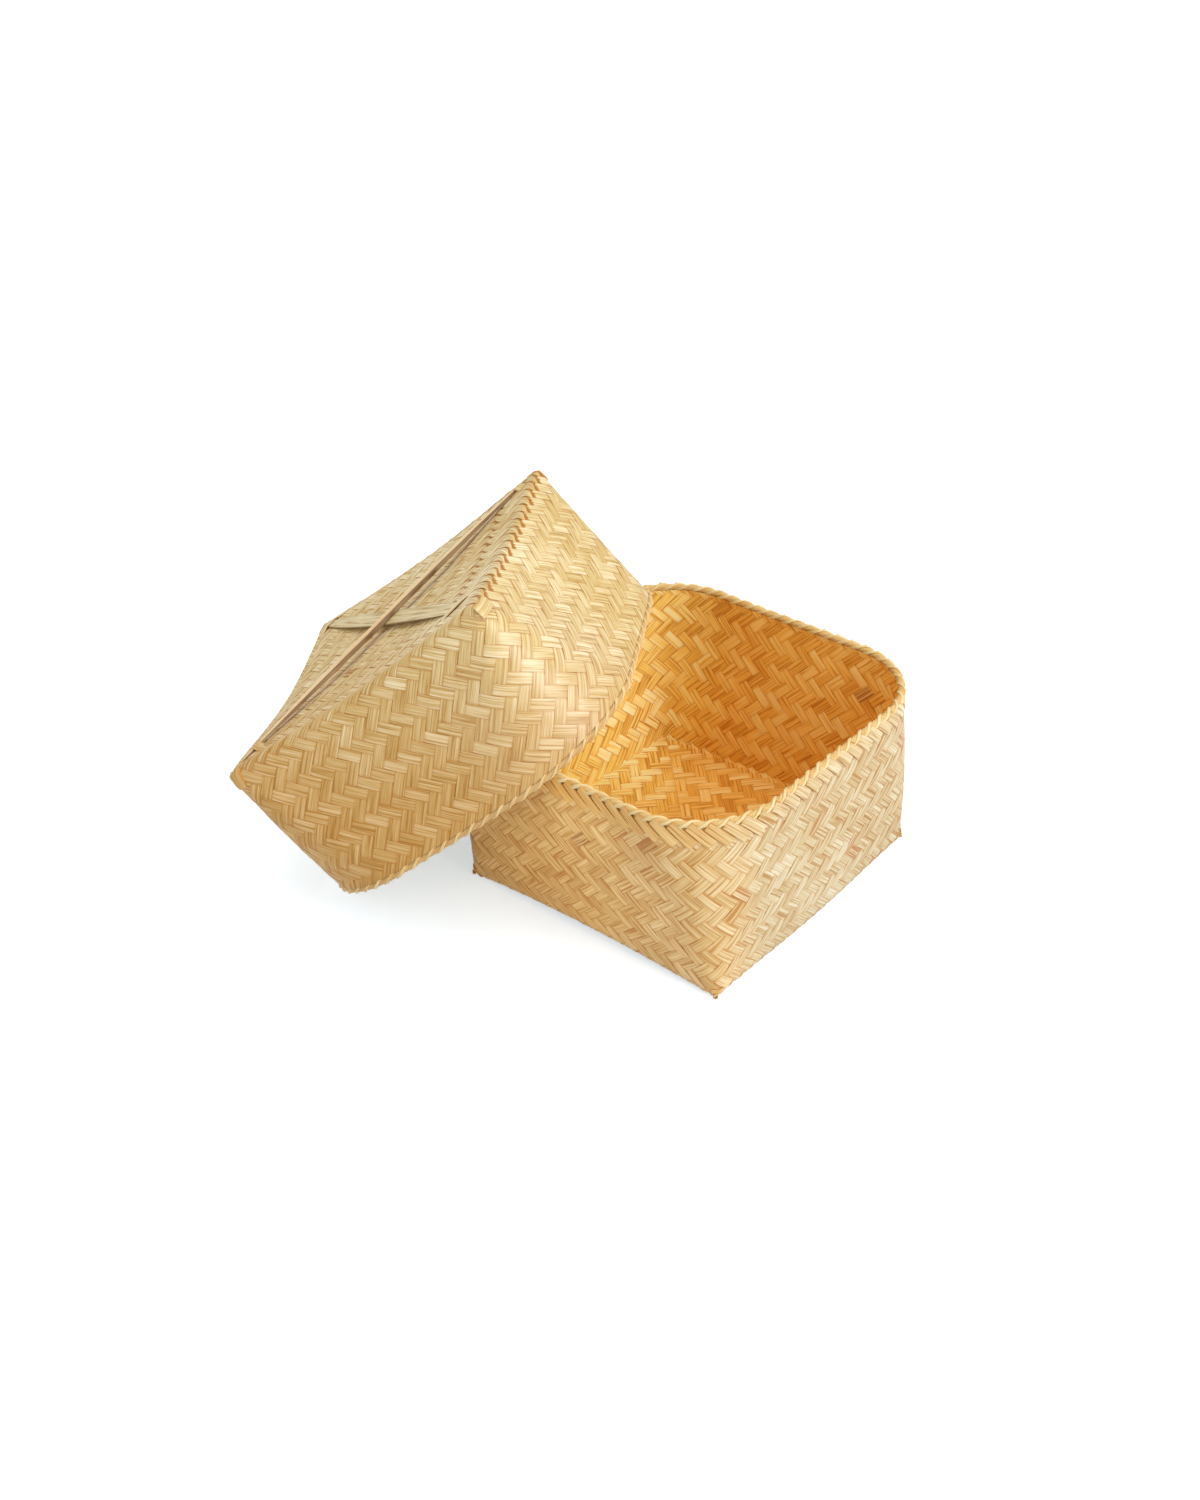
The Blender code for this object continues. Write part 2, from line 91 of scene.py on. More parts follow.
class Value:
    """A shader socket that can be added, multiplied and compared like a number."""

    def __init__(self, sheet: "NodeSheet", socket: bpy.types.NodeSocket) -> None:
        """Keep the socket and the sheet that it is on."""
        self.sheet = sheet
        self.socket = socket

    def __add__(self, other: "Value | float") -> "Value":
        """Sum."""
        return self.sheet.math("ADD", self, other)

    __radd__ = __add__

    def __mul__(self, other: "Value | float") -> "Value":
        """Product."""
        return self.sheet.math("MULTIPLY", self, other)

    __rmul__ = __mul__

    def __sub__(self, other: "Value | float") -> "Value":
        """Difference."""
        return self.sheet.math("SUBTRACT", self, other)

    def __rsub__(self, other: "Value | float") -> "Value":
        """Difference from a number."""
        return self.sheet.math("SUBTRACT", other, self)

    def clamped(self) -> "Value":
        """The value held between 0 and 1."""
        return self.sheet.math("MINIMUM", self.sheet.math("MAXIMUM", self, 0.0), 1.0)

    def size(self) -> "Value":
        """The value without its sign."""
        return self.sheet.math("ABSOLUTE", self)

    def rise(self, low: float, high: float) -> "Value":
        """A smooth step from 0 at low to 1 at high."""
        share = ((self - low) * (1.0 / (high - low))).clamped()
        return share * share * (3.0 - 2.0 * share)


class NodeSheet:
    """The nodes of one material, or of the world."""

    def __init__(self, owner: bpy.types.Material | bpy.types.World) -> None:
        """Open the owner's nodes."""
        owner.use_nodes = True
        self.owner = owner
        self.tree = owner.node_tree

    def part(self, name: str) -> bpy.types.Node:
        """Node that the sheet starts with."""
        return self.tree.nodes[name]

    def node(
        self,
        kind: str,
        settings: dict[str, Any] | None = None,
        inputs: dict[str | int, Any] | None = None,
        output: str | int = 0,
    ) -> Value:
        """Add a node.

        Args:
            kind: The node's type.
            settings: Its settings, set before its sockets. The key stops holds a ramp's stops.
            inputs: Values or links of its sockets, by name or place.
            output: The output that is wanted.

        Returns:
            The wanted output.
        """
        made = self.tree.nodes.new(kind)
        for key, setting in (settings or {}).items():
            if key == "stops":
                self._set_stops(made.color_ramp, setting)
            else:
                setattr(made, key, setting)
        for key, value in (inputs or {}).items():
            self.feed(made.inputs[key], value)
        return Value(self, made.outputs[output])

    @staticmethod
    def _set_stops(ramp: bpy.types.ColorRamp, stops: Sequence[tuple[float, Colour]]) -> None:
        """Give a colour ramp its stops.

        Args:
            ramp: The ramp.
            stops: Place and colour of each stop.
        """
        while len(ramp.elements) < len(stops):
            ramp.elements.new(1.0)
        for element, (place, colour) in zip(ramp.elements, stops):
            element.position = place
            element.color = (*colour, 1.0)

    def feed(self, socket: bpy.types.NodeSocket, value: Any) -> None:
        """Link a value to a socket, or set the socket to a constant.

        Args:
            socket: The socket.
            value: A Value to link, or a number, a vector or a colour to set.
        """
        if isinstance(value, Value):
            self.tree.links.new(value.socket, socket)
        elif isinstance(value, tuple) and len(value) == 3 and socket.type == "RGBA":
            socket.default_value = (*value, 1.0)
        else:
            socket.default_value = value

    def math(self, operation: str, *values: Value | float) -> Value:
        """Math node on one or two values."""
        return self.node("ShaderNodeMath", {"operation": operation}, dict(enumerate(values)))

    def mix(
        self, share: Value | float, first: Value | Colour, second: Value | Colour, blend: str = "MIX"
    ) -> Value:
        """Colour that goes from first to second, or to their blend, by share."""
        settings = {"data_type": "RGBA", "blend_type": blend}
        return self.node("ShaderNodeMix", settings, {0: share, 6: first, 7: second}, output=2)

    def vector(self, across: Value | float, along: Value | float, up: Value | float = 0.0) -> Value:
        """Vector from three values."""
        return self.node("ShaderNodeCombineXYZ", None, {0: across, 1: along, 2: up})

    def distance(self, place: Value, other: Place = (0.0, 0.0, 0.0)) -> Value:
        """Distance of a place from another."""
        settings = {"operation": "DISTANCE"}
        return self.node("ShaderNodeVectorMath", settings, {0: place, 1: other}, "Value")

    def noise(
        self, place: Value, scale: float, detail: float = 2.0, roughness: float = 0.5
    ) -> Value:
        """Smooth noise between 0 and 1."""
        inputs = {"Vector": place, "Scale": scale, "Detail": detail, "Roughness": roughness}
        return self.node("ShaderNodeTexNoise", None, inputs)

    def attribute(self, name: str) -> Value:
        """Number stored on the mesh."""
        return self.node("ShaderNodeAttribute", {"attribute_name": name}, output="Fac")

    def strip_place(self) -> tuple[Value, Value]:
        """Place across and along the strip, in strip widths, from its own map."""
        across, along, _ = self.split(self.node("ShaderNodeUVMap", {"uv_map": StripMesh.MAP}))
        return across, along

    def split(self, place: Value) -> tuple[Value, ...]:
        """The three parts of a vector."""
        parts = self.node("ShaderNodeSeparateXYZ", None, {0: place}).socket.node
        return tuple(Value(self, part) for part in parts.outputs)

    def object_place(self) -> Value:
        """Place on the object, in metres."""
        return self.node("ShaderNodeTexCoord", output="Object")

    def seen_directly(self) -> Value:
        """Whether a ray shows the surface, and doesn't only carry its light elsewhere.

        Returns:
            1 for rays from the camera, from gloss and from glass, 0 for all others.
        """
        kinds = ("Is Camera Ray", "Is Glossy Ray", "Is Transmission Ray")
        camera, glossy, glass = (self.node("ShaderNodeLightPath", output=kind) for kind in kinds)
        return self.math("MAXIMUM", self.math("MAXIMUM", camera, glossy), glass)


@dataclass(frozen=True)
class Grain:
    """Noise that is drawn out along a strip.

    Attributes:
        across: Waves of the noise in one strip's width.
        along: Waves along the strip for each strip width.
        detail: How many finer waves are added.
        roughness: Weight of the finer waves.
    """

    across: float
    along: float
    detail: float = 2.0
    roughness: float = 0.5

    def on(self, sheet: NodeSheet, across: Value, along: Value) -> Value:
        """Noise between 0 and 1 at a place on a strip."""
        place = sheet.vector(across * self.across, along * self.along)
        return sheet.noise(place, 1.0, self.detail, self.roughness)


@dataclass(frozen=True)
class StripFinish:
    """Split bamboo: fibres along the strip, and tones that change from strip to strip.

    Values in capitals are the same for all bamboo. A TONE is how much the named pattern moves the
    colour from deep to pale, a SHADE how far it turns the colour to the painted shade of the gaps
    and float ends, and a ROUGH how much it adds to the roughness.

    Attributes:
        name: Material's name.
        deep: Colour of the darkest fibres.
        middle: Colour of most strips.
        pale: Colour of the lightest strips.
        stain_and_slit_shade: Colour of the few red-brown floats, and painted shadow where a strip
        shows through a slit of the lid.
        edge_light_and_shade: Painted shade on the strips' edges and at the ends of the floats, where
        they go under; on the long splint's skin, painted light along its lit edge.
        light_and_shade_tint: Painted light and shade, a tint that the colours of a part of the
            object are multiplied by, to make them lighter, darker and warmer as light falls on them.
        light_and_shade_way: How fast that tint comes in along X, Y and Z, for each metre.
        light_and_shade_start: Its share at the origin.
        roughness: Roughness of the strips' skin.
        sheen: How strongly the strips themselves mirror.
        coat: Weight of the shiny skin.
        gloss: Weight added at the glossiest place.
        gloss_place: That place.
        gloss_reach: How far from it the added weight fades out.
        fibre_relief: Height of the fibres.
        fibre_lines: Number of main fibre lines across a strip.
        line_depth: How much darker the lines between the fibres are.
        tone_spread: How much the tone changes from strip to strip and float to float.
        slot: Name of a material slot; not used.
    """

    HAIRS: ClassVar[Grain] = Grain(13.0, 0.16, roughness=0.6)
    CLOUDS: ClassVar[Grain] = Grain(0.5, 0.35)
    PATCH_SCALE: ClassVar[float] = 20.0
    LINE_LEVEL: ClassVar[float] = 0.47
    LINE_SOFTNESS: ClassVar[float] = 0.07
    EDGE_START: ClassVar[float] = 0.86
    MIDDLE_TONE: ClassVar[float] = 0.55
    FIBRE_TONE: ClassVar[float] = 1.5
    HAIR_TONE: ClassVar[float] = 0.9
    CLOUD_TONE: ClassVar[float] = 0.3
    PATCH_TONE: ClassVar[float] = 0.3
    PATCH_LIGHTING: ClassVar[float] = 0.5
    DIVE_SHADE: ClassVar[float] = 0.7
    EDGE_SHADE: ClassVar[float] = 0.75
    STREAK_LEVEL: ClassVar[float] = 0.53
    STREAK_SOFTNESS: ClassVar[float] = 0.05
    STREAK_SHARE: ClassVar[float] = 0.75
    STAIN_SHARE: ClassVar[float] = 0.1
    HAIR_ROUGH: ClassVar[float] = 0.16
    LINE_ROUGH: ClassVar[float] = 0.10
    DIVE_ROUGH: ClassVar[float] = 0.15
    COAT_ROUGHNESS: ClassVar[float] = 0.30
    RELIEF_STRENGTH: ClassVar[float] = 0.7
    FIBRE_HEIGHT: ClassVar[float] = 0.7
    HAIR_HEIGHT: ClassVar[float] = 0.3

    name: str
    deep: Colour
    middle: Colour
    pale: Colour
    stain_and_slit_shade: Colour = (0.42, 0.16, 0.06)
    edge_light_and_shade: Colour = (0.60, 0.26, 0.05)
    light_and_shade_tint: Colour = (1.0, 1.0, 1.0)
    light_and_shade_way: Place = (0.0, 0.0, 0.0)
    light_and_shade_start: float = 0.0
    roughness: float = 0.42
    sheen: float = 0.12
    coat: float = 0.15
    gloss: float = 0.0
    gloss_place: Place = (0.0, 0.0, 0.0)
    gloss_reach: float = 0.1
    fibre_relief: float = 0.09 * MILLIMETRE
    fibre_lines: float = 5.2
    line_depth: float = 0.30
    tone_spread: float = 0.10
    slot: str = "bamboo_outside"

    @cache
    def material(self) -> bpy.types.Material:
        """Build the material at its first use.

        Returns:
            The material, which reads the strip's map and its tone attributes.
        """
        sheet = NodeSheet(bpy.data.materials.new(self.name))
        shader = sheet.part("Principled BSDF")
        across, along = sheet.strip_place()
        place = sheet.object_place()
        fibres = Grain(self.fibre_lines, 0.10, 3.0, 0.72).on(sheet, across, along)
        hairs = self.HAIRS.on(sheet, across, along)
        clouds = self.CLOUDS.on(sheet, across, along)
        patches = sheet.noise(place, self.PATCH_SCALE)
        # Painted shade: the float ends, where a strip goes under, and the strips' edges are turned
        # towards the painted edge colour.
        dive_shade_share = sheet.attribute("dive_shade_share")
        edge = ((sheet.math("FRACT", across) - 0.5).size() * 2.0).rise(self.EDGE_START, 1.0)
        lines = (self.LINE_LEVEL - fibres).rise(0.0, self.LINE_SOFTNESS)
        tone = (
            self.MIDDLE_TONE
            + sheet.attribute("strip_tone") * self.tone_spread
            + sheet.attribute("float_tone") * self.tone_spread
            + (fibres - 0.5) * self.FIBRE_TONE
            + (hairs - 0.5) * self.HAIR_TONE
            - lines * self.line_depth
            + (clouds - 0.5) * self.CLOUD_TONE
            + (patches - 0.5) * self.PATCH_TONE
        )
        stops = ((0.0, self.deep), (0.5, self.middle), (1.0, self.pale))
        colour = sheet.node("ShaderNodeValToRGB", {"stops": stops}, {0: tone.clamped()})
        # Painted light and shade: a tint by place on the object, with random patches, makes parts
        # lighter, darker and warmer as light falls on them.
        x, y, z = sheet.split(place)
        lighting_share = x * self.light_and_shade_way[0] + y * self.light_and_shade_way[1] + z * self.light_and_shade_way[2]
        lighting_share = (lighting_share + self.light_and_shade_start + (patches - 0.5) * self.PATCH_LIGHTING).clamped()
        colour = sheet.mix(lighting_share, colour, self.light_and_shade_tint, "MULTIPLY")
        shade = dive_shade_share * dive_shade_share * self.DIVE_SHADE + edge * self.EDGE_SHADE
        colour = sheet.mix(shade.clamped(), colour, self.edge_light_and_shade)
        streaks = (self.STREAK_LEVEL - fibres).rise(0.0, self.STREAK_SOFTNESS)
        # The stain share also paints the shadow where a strip shows through a slit of the lid.
        stained = sheet.attribute("stain_and_slit_shade") * (streaks * self.STREAK_SHARE + self.STAIN_SHARE)
        rough = (
            self.roughness
            + (hairs - 0.5) * self.HAIR_ROUGH
            + lines * self.LINE_ROUGH
            + dive_shade_share * self.DIVE_ROUGH
        )
        coat = self.coat
        if self.gloss:
            near = sheet.distance(place, self.gloss_place).rise(self.gloss_reach, 0.0)
            coat = self.coat + self.gloss * near
        bump = sheet.node("ShaderNodeBump", None, {
            "Height": fibres * self.FIBRE_HEIGHT + hairs * self.HAIR_HEIGHT,
            "Strength": self.RELIEF_STRENGTH,
            "Distance": self.fibre_relief,
        })
        sheet.feed(shader.inputs["Base Color"], sheet.mix(stained, colour, self.stain_and_slit_shade))
        sheet.feed(shader.inputs["Roughness"], rough.clamped())
        sheet.feed(shader.inputs["Coat Weight"], coat)
        sheet.feed(shader.inputs["Coat Roughness"], self.COAT_ROUGHNESS)
        sheet.feed(shader.inputs["Specular IOR Level"], self.sheen)
        sheet.feed(shader.inputs["Normal"], bump)
        return sheet.owner


@dataclass(frozen=True)
class FloorFinish:
    """Matt white studio paper, which shows as plain white wherever no shadow falls.

    Attributes:
        name: Material's name.
        paper: Colour of the paper.
        roughness: Its roughness.
        mirror: How strongly it mirrors.
        lift: Light that it gives off, to show as white.
        far_lift: Share of that light that is added far off, where the lamps reach less.
        far_start: Distance from the object at which that share starts to come in.
        far_end: Distance at which all of it is there.
    """

    name: str = "studio_paper"
    paper: Colour = (0.80, 0.80, 0.80)
    roughness: float = 0.9
    mirror: float = 0.1
    lift: Colour = (0.45, 0.53, 0.58)
    far_lift: float = 0.6
    far_start: float = 0.35
    far_end: float = 1.0

    def material(self) -> bpy.types.Material:
        """Build the material.

        Returns:
            Paper that gives off a little light of its own to the camera and to reflections.
        """
        sheet = NodeSheet(bpy.data.materials.new(self.name))
        shader = sheet.part("Principled BSDF")
        sheet.feed(shader.inputs["Base Color"], self.paper)
        sheet.feed(shader.inputs["Roughness"], self.roughness)
        sheet.feed(shader.inputs["Specular IOR Level"], self.mirror)
        far = sheet.distance(sheet.object_place()).rise(self.far_start, self.far_end)
        strength = sheet.seen_directly() * (1.0 + self.far_lift * far)
        glow = sheet.node("ShaderNodeEmission", None, {"Color": self.lift, "Strength": strength})
        paper = Value(sheet, shader.outputs[0])
        both = sheet.node("ShaderNodeAddShader", None, {0: paper, 1: glow})
        sheet.feed(sheet.part("Material Output").inputs["Surface"], both)
        return sheet.owner


class Bench:
    """Hand operations on one mesh at a time."""

    SMOOTH_ANGLE = math.radians(50)

    @staticmethod
    def clear() -> None:
        """Leave edit mode and deselect everything."""
        if bpy.context.object and bpy.context.object.mode != "OBJECT":
            bpy.ops.object.mode_set(mode="OBJECT")
        bpy.ops.object.select_all(action="DESELECT")

    @staticmethod
    def pick_edges(thing: bpy.types.Object, wanted: Callable[[Vector, Vector], bool]) -> None:
        """Select the edges of a mesh in edit mode.

        Args:
            thing: Object in edit mode.
            wanted: Says from an edge's two ends whether it is wanted.
        """
        bpy.ops.mesh.select_all(action="DESELECT")
        bpy.ops.mesh.select_mode(type="EDGE")
        mesh = bmesh.from_edit_mesh(thing.data)
        for edge in mesh.edges:
            edge.select_set(wanted(edge.verts[0].co, edge.verts[1].co))
        bmesh.update_edit_mesh(thing.data)

    @classmethod
    def finish(
        cls, name: str, parts: list[bpy.types.Object], finish: StripFinish, body: str, node: str
    ) -> bpy.types.Object:
        """Join strips into one piece and dress it.

        Args:
            name: Name of the piece.
            parts: Its strips.
            finish: Its finish.
            body: CAD body that it rides on.
            node: CAD node that it stands for.

        Returns:
            The piece, shaded smooth between its sharp edges.
        """
        cls.clear()
        for part in parts:
            part.select_set(True)
        bpy.context.view_layer.objects.active = parts[0]
        if len(parts) > 1:
            bpy.ops.object.join()
        piece = parts[0]
        piece.name = name
        piece.data.name = name
        bpy.ops.object.shade_smooth_by_angle(angle=cls.SMOOTH_ANGLE)
        cls.clear()
        piece.data.materials.clear()
        piece.data.materials.append(finish.material())
        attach(piece, body)
        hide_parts(node)
        log.info("%s: %d strips, %d faces", name, len(parts), len(piece.data.polygons))
        return piece


class StripMesh:
    """Flat strips, made once for each number of steps and copied for each use."""

    MAP = "strip_map"
    TONES = ("strip_tone", "float_tone", "dive_shade_share", "stain_and_slit_shade")
    LANE_FILL = 0.98
    LANE_STEP = 7
    CHAMFER = 0.22
    MOST_PARTS = 100
    _made: dict[int, bpy.types.Mesh] = {}

    @classmethod
    def flat(cls, steps: int) -> bpy.types.Mesh:
        """Strip of unit length, width and thickness, cut into equal steps.

        Args:
            steps: Number of steps along X.

        Returns:
            Mesh whose upper long edges are bevelled, so that a strip looks crowned.
        """
        if steps not in cls._made:
            Bench.clear()
            bpy.ops.mesh.primitive_cube_add(size=1.0, location=(0, 0, 0))
            bar = bpy.context.active_object
            bpy.ops.object.mode_set(mode="EDIT")
            Bench.pick_edges(bar, lambda a, b: a.z > 0 and b.z > 0 and abs(a.x - b.x) > 0.5)
            bpy.ops.mesh.bevel(offset=cls.CHAMFER, segments=1, affect="EDGES")
            while steps > round(1 / cls._longest(bar)):
                left = steps // round(1 / cls._longest(bar))
                parts = max(count for count in range(2, cls.MOST_PARTS + 1) if left % count == 0)
                Bench.pick_edges(bar, lambda a, b: abs(a.x - b.x) > TINY)
                bpy.ops.mesh.subdivide(number_cuts=parts - 1)
            bpy.ops.object.mode_set(mode="OBJECT")
            cls._made[steps] = bar.data
            bpy.data.objects.remove(bar, do_unlink=True)
        return cls._made[steps]

    @staticmethod
    def _longest(bar: bpy.types.Object) -> float:
        """Length along X of the longest edge of a bar in edit mode."""
        mesh = bmesh.from_edit_mesh(bar.data)
        return max(abs(edge.verts[0].co.x - edge.verts[1].co.x) for edge in mesh.edges)

    @classmethod
    def lane(cls, across: Points, number: int = 0, fill: float = LANE_FILL) -> Points:
        """Map's first coordinate, in strip widths, with a lane of its own for each strip."""
        return across * fill + 0.5 + number * cls.LANE_STEP

    @classmethod
    def lay(
        cls,
        steps: int,
        place: Callable[[Points, Points, Points], Points],
        chart: Callable[[Points, Points], tuple[Points, Points]],
        tones: dict[str, Callable[[Points], Points]] | None = None,
    ) -> bpy.types.Object:
        """Copy a flat strip and lay it where it belongs.

        Args:
            steps: Number of steps along the strip.
            place: Gives each point's place from its station, from 0 to steps, its share across,
                from -0.5 to 0.5, and its share through the thickness, from -0.5 to 0.5.
            chart: Gives the map's two coordinates from station and share across.
            tones: Gives each attribute's value from the station, for those that aren't 0.

        Returns:
            Object that holds the strip.
        """
        mesh = cls.flat(steps).copy()
        flat = np.empty(len(mesh.vertices) * 3)
        mesh.vertices.foreach_get("co", flat)
        flat = flat.reshape(-1, 3)
        station = np.round((flat[:, 0] + 0.5) * steps)
        mesh.vertices.foreach_set("co", place(station, flat[:, 1], flat[:, 2]).ravel())
        corner = np.empty(len(mesh.loops), dtype=int)
        mesh.loops.foreach_get("vertex_index", corner)
        across, along = chart(station, flat[:, 1])
        while mesh.uv_layers:
            mesh.uv_layers.remove(mesh.uv_layers[0])
        layer = mesh.uv_layers.new(name=cls.MAP)
        layer.data.foreach_set("uv", np.stack((across[corner], along[corner]), axis=1).ravel())
        for name in cls.TONES:
            tone = (tones or {}).get(name, np.zeros_like)
            stored = mesh.attributes.new(name, "FLOAT", "POINT")
            stored.data.foreach_set("value", tone(station))
        mesh.update()
        thing = bpy.data.objects.new("strip", mesh)
        bpy.context.scene.collection.objects.link(thing)
        return thing


def smooth(share: Points) -> Points:
    """Smooth step from 0 to 1, held outside that range."""
    held = np.clip(share, 0.0, 1.0)
    return held * held * (3 - 2 * held)


def around(values: Sequence[float], share: Points) -> Points:
    """Value at a share of the way round a basket.

    Args:
        values: Values at even stations all round.
        share: Share of the way round.

    Returns:
        Values that go smoothly from station to station.
    """
    given = np.array(values)
    way = (share % 1.0) * len(given)
    low = np.floor(way).astype(int)
    turn = smooth(way - low)
    return given[low % len(given)] * (1 - turn) + given[(low + 1) % len(given)] * turn


def bounded(
    draw: np.random.Generator, spread: float, limit: float, count: int | None = None
) -> Points | float:
    """Random draws about zero, held within a limit to each side."""
    return np.clip(draw.normal(0.0, spread, count), -limit, limit)


def node_points(name: str) -> Points:
    """Distinct points of a CAD node, in metres.

    Args:
        name: The node's name.

    Returns:
        One row for each point.
    """
    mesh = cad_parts[name].data
    points = np.empty(len(mesh.vertices) * 3)
    mesh.vertices.foreach_get("co", points)
    return np.unique(points.reshape(-1, 3).round(6), axis=0)


@dataclass
class Basket:
    """Outer surface of one half of the box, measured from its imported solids.

    In the basket's own frame the closed face lies at z = 0 and the mouth is up. The fields from
    turn on are measured.

    Attributes:
        body: CAD body, and the start of the names of its nodes.
        arches: How far the middle of each floor edge stands off the ground, for the +X, +Y, -X
            and -Y sides.
        dish: How far the middle of the closed face stands off.
        belly: How far the middle of a wall stands out of the straight line.
        pitches: Number of strips along a side, counted along the edge.
        fold_radius: Radius of the fold between floor and wall.
        layer_thickness: Thickness of one woven layer.
        layer_gap: Gap between the two layers.
        dish_reach: Share of the way in at which the closed face's dish is deepest.
        arch_power: Power of the arches' curve, which makes their ends flatter.
        rounding: Power of the height's share by which the wall's corners grow rounder.
        foot_shifts: How far the fold stands out of its measured line, at the middle of the +X
            side, at the corner after it, and so on round the basket.
        waist_shifts: The same for the middle of the wall's height.
        rim_lifts: How far the rim rises over its measured height, at the same eight places.
        turn: The basket's own axes in the row frame, as columns.
        origin: Middle of its closed face in the row frame.
        wall_height: Height of its walls.
        foot_half: Half its width at the foot of the walls.
        foot_radius: Radius of its corners there.
        rim_half: Half its width at the rim.
        rim_radius: Radius of its corners there.
        arc: Length of the fold between floor and wall.
        floor_half: Half the width of the flat floor.
        side: Width of the floor, measured along the strips from fold to fold.
        strip_width: Width of a strip's lane.
        climb: Height that a wall gains for each metre along it.
        wall_reach: Length from the fold's middle to the rim.
    """

    CAD_FOLD: ClassVar[float] = 2.8 * MILLIMETRE
    LEVEL_SLACK: ClassVar[float] = 0.1 * MILLIMETRE
    LEAST_RADIUS: ClassVar[float] = 1e-7
    FOOT_FADE: ClassVar[float] = 0.25
    CORNER_FADE: ClassVar[float] = 4.0
    RISE_FADE_POWER: ClassVar[int] = 3

    body: str
    arches: tuple[float, ...]
    dish: float
    belly: float = 1.2 * MILLIMETRE
    pitches: int = 19
    fold_radius: float = 2.8 * MILLIMETRE
    layer_thickness: float = 1.0 * MILLIMETRE
    layer_gap: float = 0.3 * MILLIMETRE
    dish_reach: float = 0.64
    arch_power: float = 1.0
    rounding: float = 1.0
    foot_shifts: tuple[float, ...] = (0.0,) * 8
    waist_shifts: tuple[float, ...] = (0.0,) * 8
    rim_lifts: tuple[float, ...] = (0.0,) * 8
    turn: Points = field(init=False)
    origin: Points = field(init=False)
    wall_height: float = field(init=False)
    foot_half: float = field(init=False)
    foot_radius: float = field(init=False)
    rim_half: float = field(init=False)
    rim_radius: float = field(init=False)
    arc: float = field(init=False)
    floor_half: float = field(init=False)
    side: float = field(init=False)
    strip_width: float = field(init=False)
    climb: float = field(init=False)
    wall_reach: float = field(init=False)

    def __post_init__(self) -> None:
        """Measure the basket's place and sizes."""
        tips = [
            node_points(f"{self.body}_corner_tip_{corner}").mean(axis=0) for corner in (1, 2, 3, 4)
        ]
        first, second = tips[0] - tips[2], tips[1] - tips[3]
        across = first - second
        up = np.cross(first, second)
        across /= np.linalg.norm(across)
        up /= np.linalg.norm(up)
        self.turn = np.stack((across, np.cross(up, across), up), axis=1)
        self.origin = np.mean(tips, axis=0)
        shell = node_points(f"{self.body}_outer_wall")
        self.origin = self.origin + self.turn[:, 2] * self.own(shell)[:, 2].min()
        shell = self.own(shell)
        width = abs(shell[:, :2]).max(axis=1)
        near_edge = shell[:, 2] > shell[:, 2].max() - MILLIMETRE
        self.wall_height = float(shell[near_edge][width[near_edge].argmax(), 2])
        self.foot_half, self.foot_radius = self._section(shell, self.CAD_FOLD)
        self.rim_half, self.rim_radius = self._section(shell, self.wall_height)
        self.arc = self.fold_radius * math.pi / 2
        self.floor_half = self.foot_half - self.fold_radius
        self.side = 2 * (self.floor_half + self.arc / 2)
        self.strip_width = self.side / (math.sqrt(2) * self.pitches)
        slope = (self.rim_half - self.foot_half) / (self.wall_height - self.fold_radius)
        self.climb = math.cos(math.atan(slope))
        self.wall_reach = self.arc / 2 + (self.wall_height - self.fold_radius) / self.climb

    @classmethod
    def _section(cls, shell: Points, height: float) -> tuple[float, float]:
        """Outermost section of a shell at a height.

        Args:
            shell: Points of the shell, in the basket's own frame.
            height: The section's height.

        Returns:
            Half its width and the radius of its corners.
        """
        ring = shell[abs(shell[:, 2] - height) < cls.LEVEL_SLACK]
        half = abs(ring[:, :2]).max()
        reach = (abs(ring[:, 0]) + abs(ring[:, 1])).max() / 2
        return float(half), float((half - reach) / (1 - ROOT_HALF))

    def own(self, points: Points) -> Points:
        """Points of the row frame in the basket's own frame."""
        return (points - self.origin) @ self.turn

    def world(self, points: Points) -> Points:
        """Points of the basket's own frame in the row frame."""
        return points @ self.turn.T + self.origin

    def girth(self, height: Points) -> tuple[Points, Points]:
        """Size of the wall's section at a height.

        Args:
            height: Height over the closed face.

        Returns:
            Half the section's width and the radius of its corners.
        """
        share = np.clip((height - self.fold_radius) / (self.wall_height - self.fold_radius), 0, 1)
        whole = np.clip(height / self.wall_height, 0, 1)
        at_fold = math.sin(math.pi * self.fold_radius / self.wall_height)
        half = self.foot_half + (self.rim_half - self.foot_half) * share
        half = half + self.belly * (np.sin(math.pi * whole) - at_fold)
        radius = self.foot_radius + (self.rim_radius - self.foot_radius) * share ** self.rounding
        return half, radius

    @classmethod
    def ring(cls, half: Points, radius: Points, share: Points) -> tuple[Points, Points]:
        """Place on a rounded square and the way out of it.

        Args:
            half: Half width of the square.
            radius: Radius of its corners.
            share: Share of the way round, from the middle of the +X side.

        Returns:
            Places and unit outward ways, each with X and Y in its last axis.
        """
        flat = half - radius
        quarter = 2 * flat + radius * math.pi / 2
        way = (share % 1.0) * 4
        side = np.floor(way)
        run = (way - side) * quarter
        bend = np.clip((run - flat) / np.maximum(radius, cls.LEAST_RADIUS), 0, math.pi / 2)
        x = flat + radius * np.cos(bend) - np.maximum(run - flat - radius * math.pi / 2, 0)
        y = np.minimum(run, flat) + radius * np.sin(bend)
        angle = side * math.pi / 2
        cos, sin = np.cos(angle), np.sin(angle)
        place = np.stack((cos * x - sin * y, sin * x + cos * y), axis=-1)
        out = np.stack((np.cos(angle + bend), np.sin(angle + bend)), axis=-1)
        return place, out

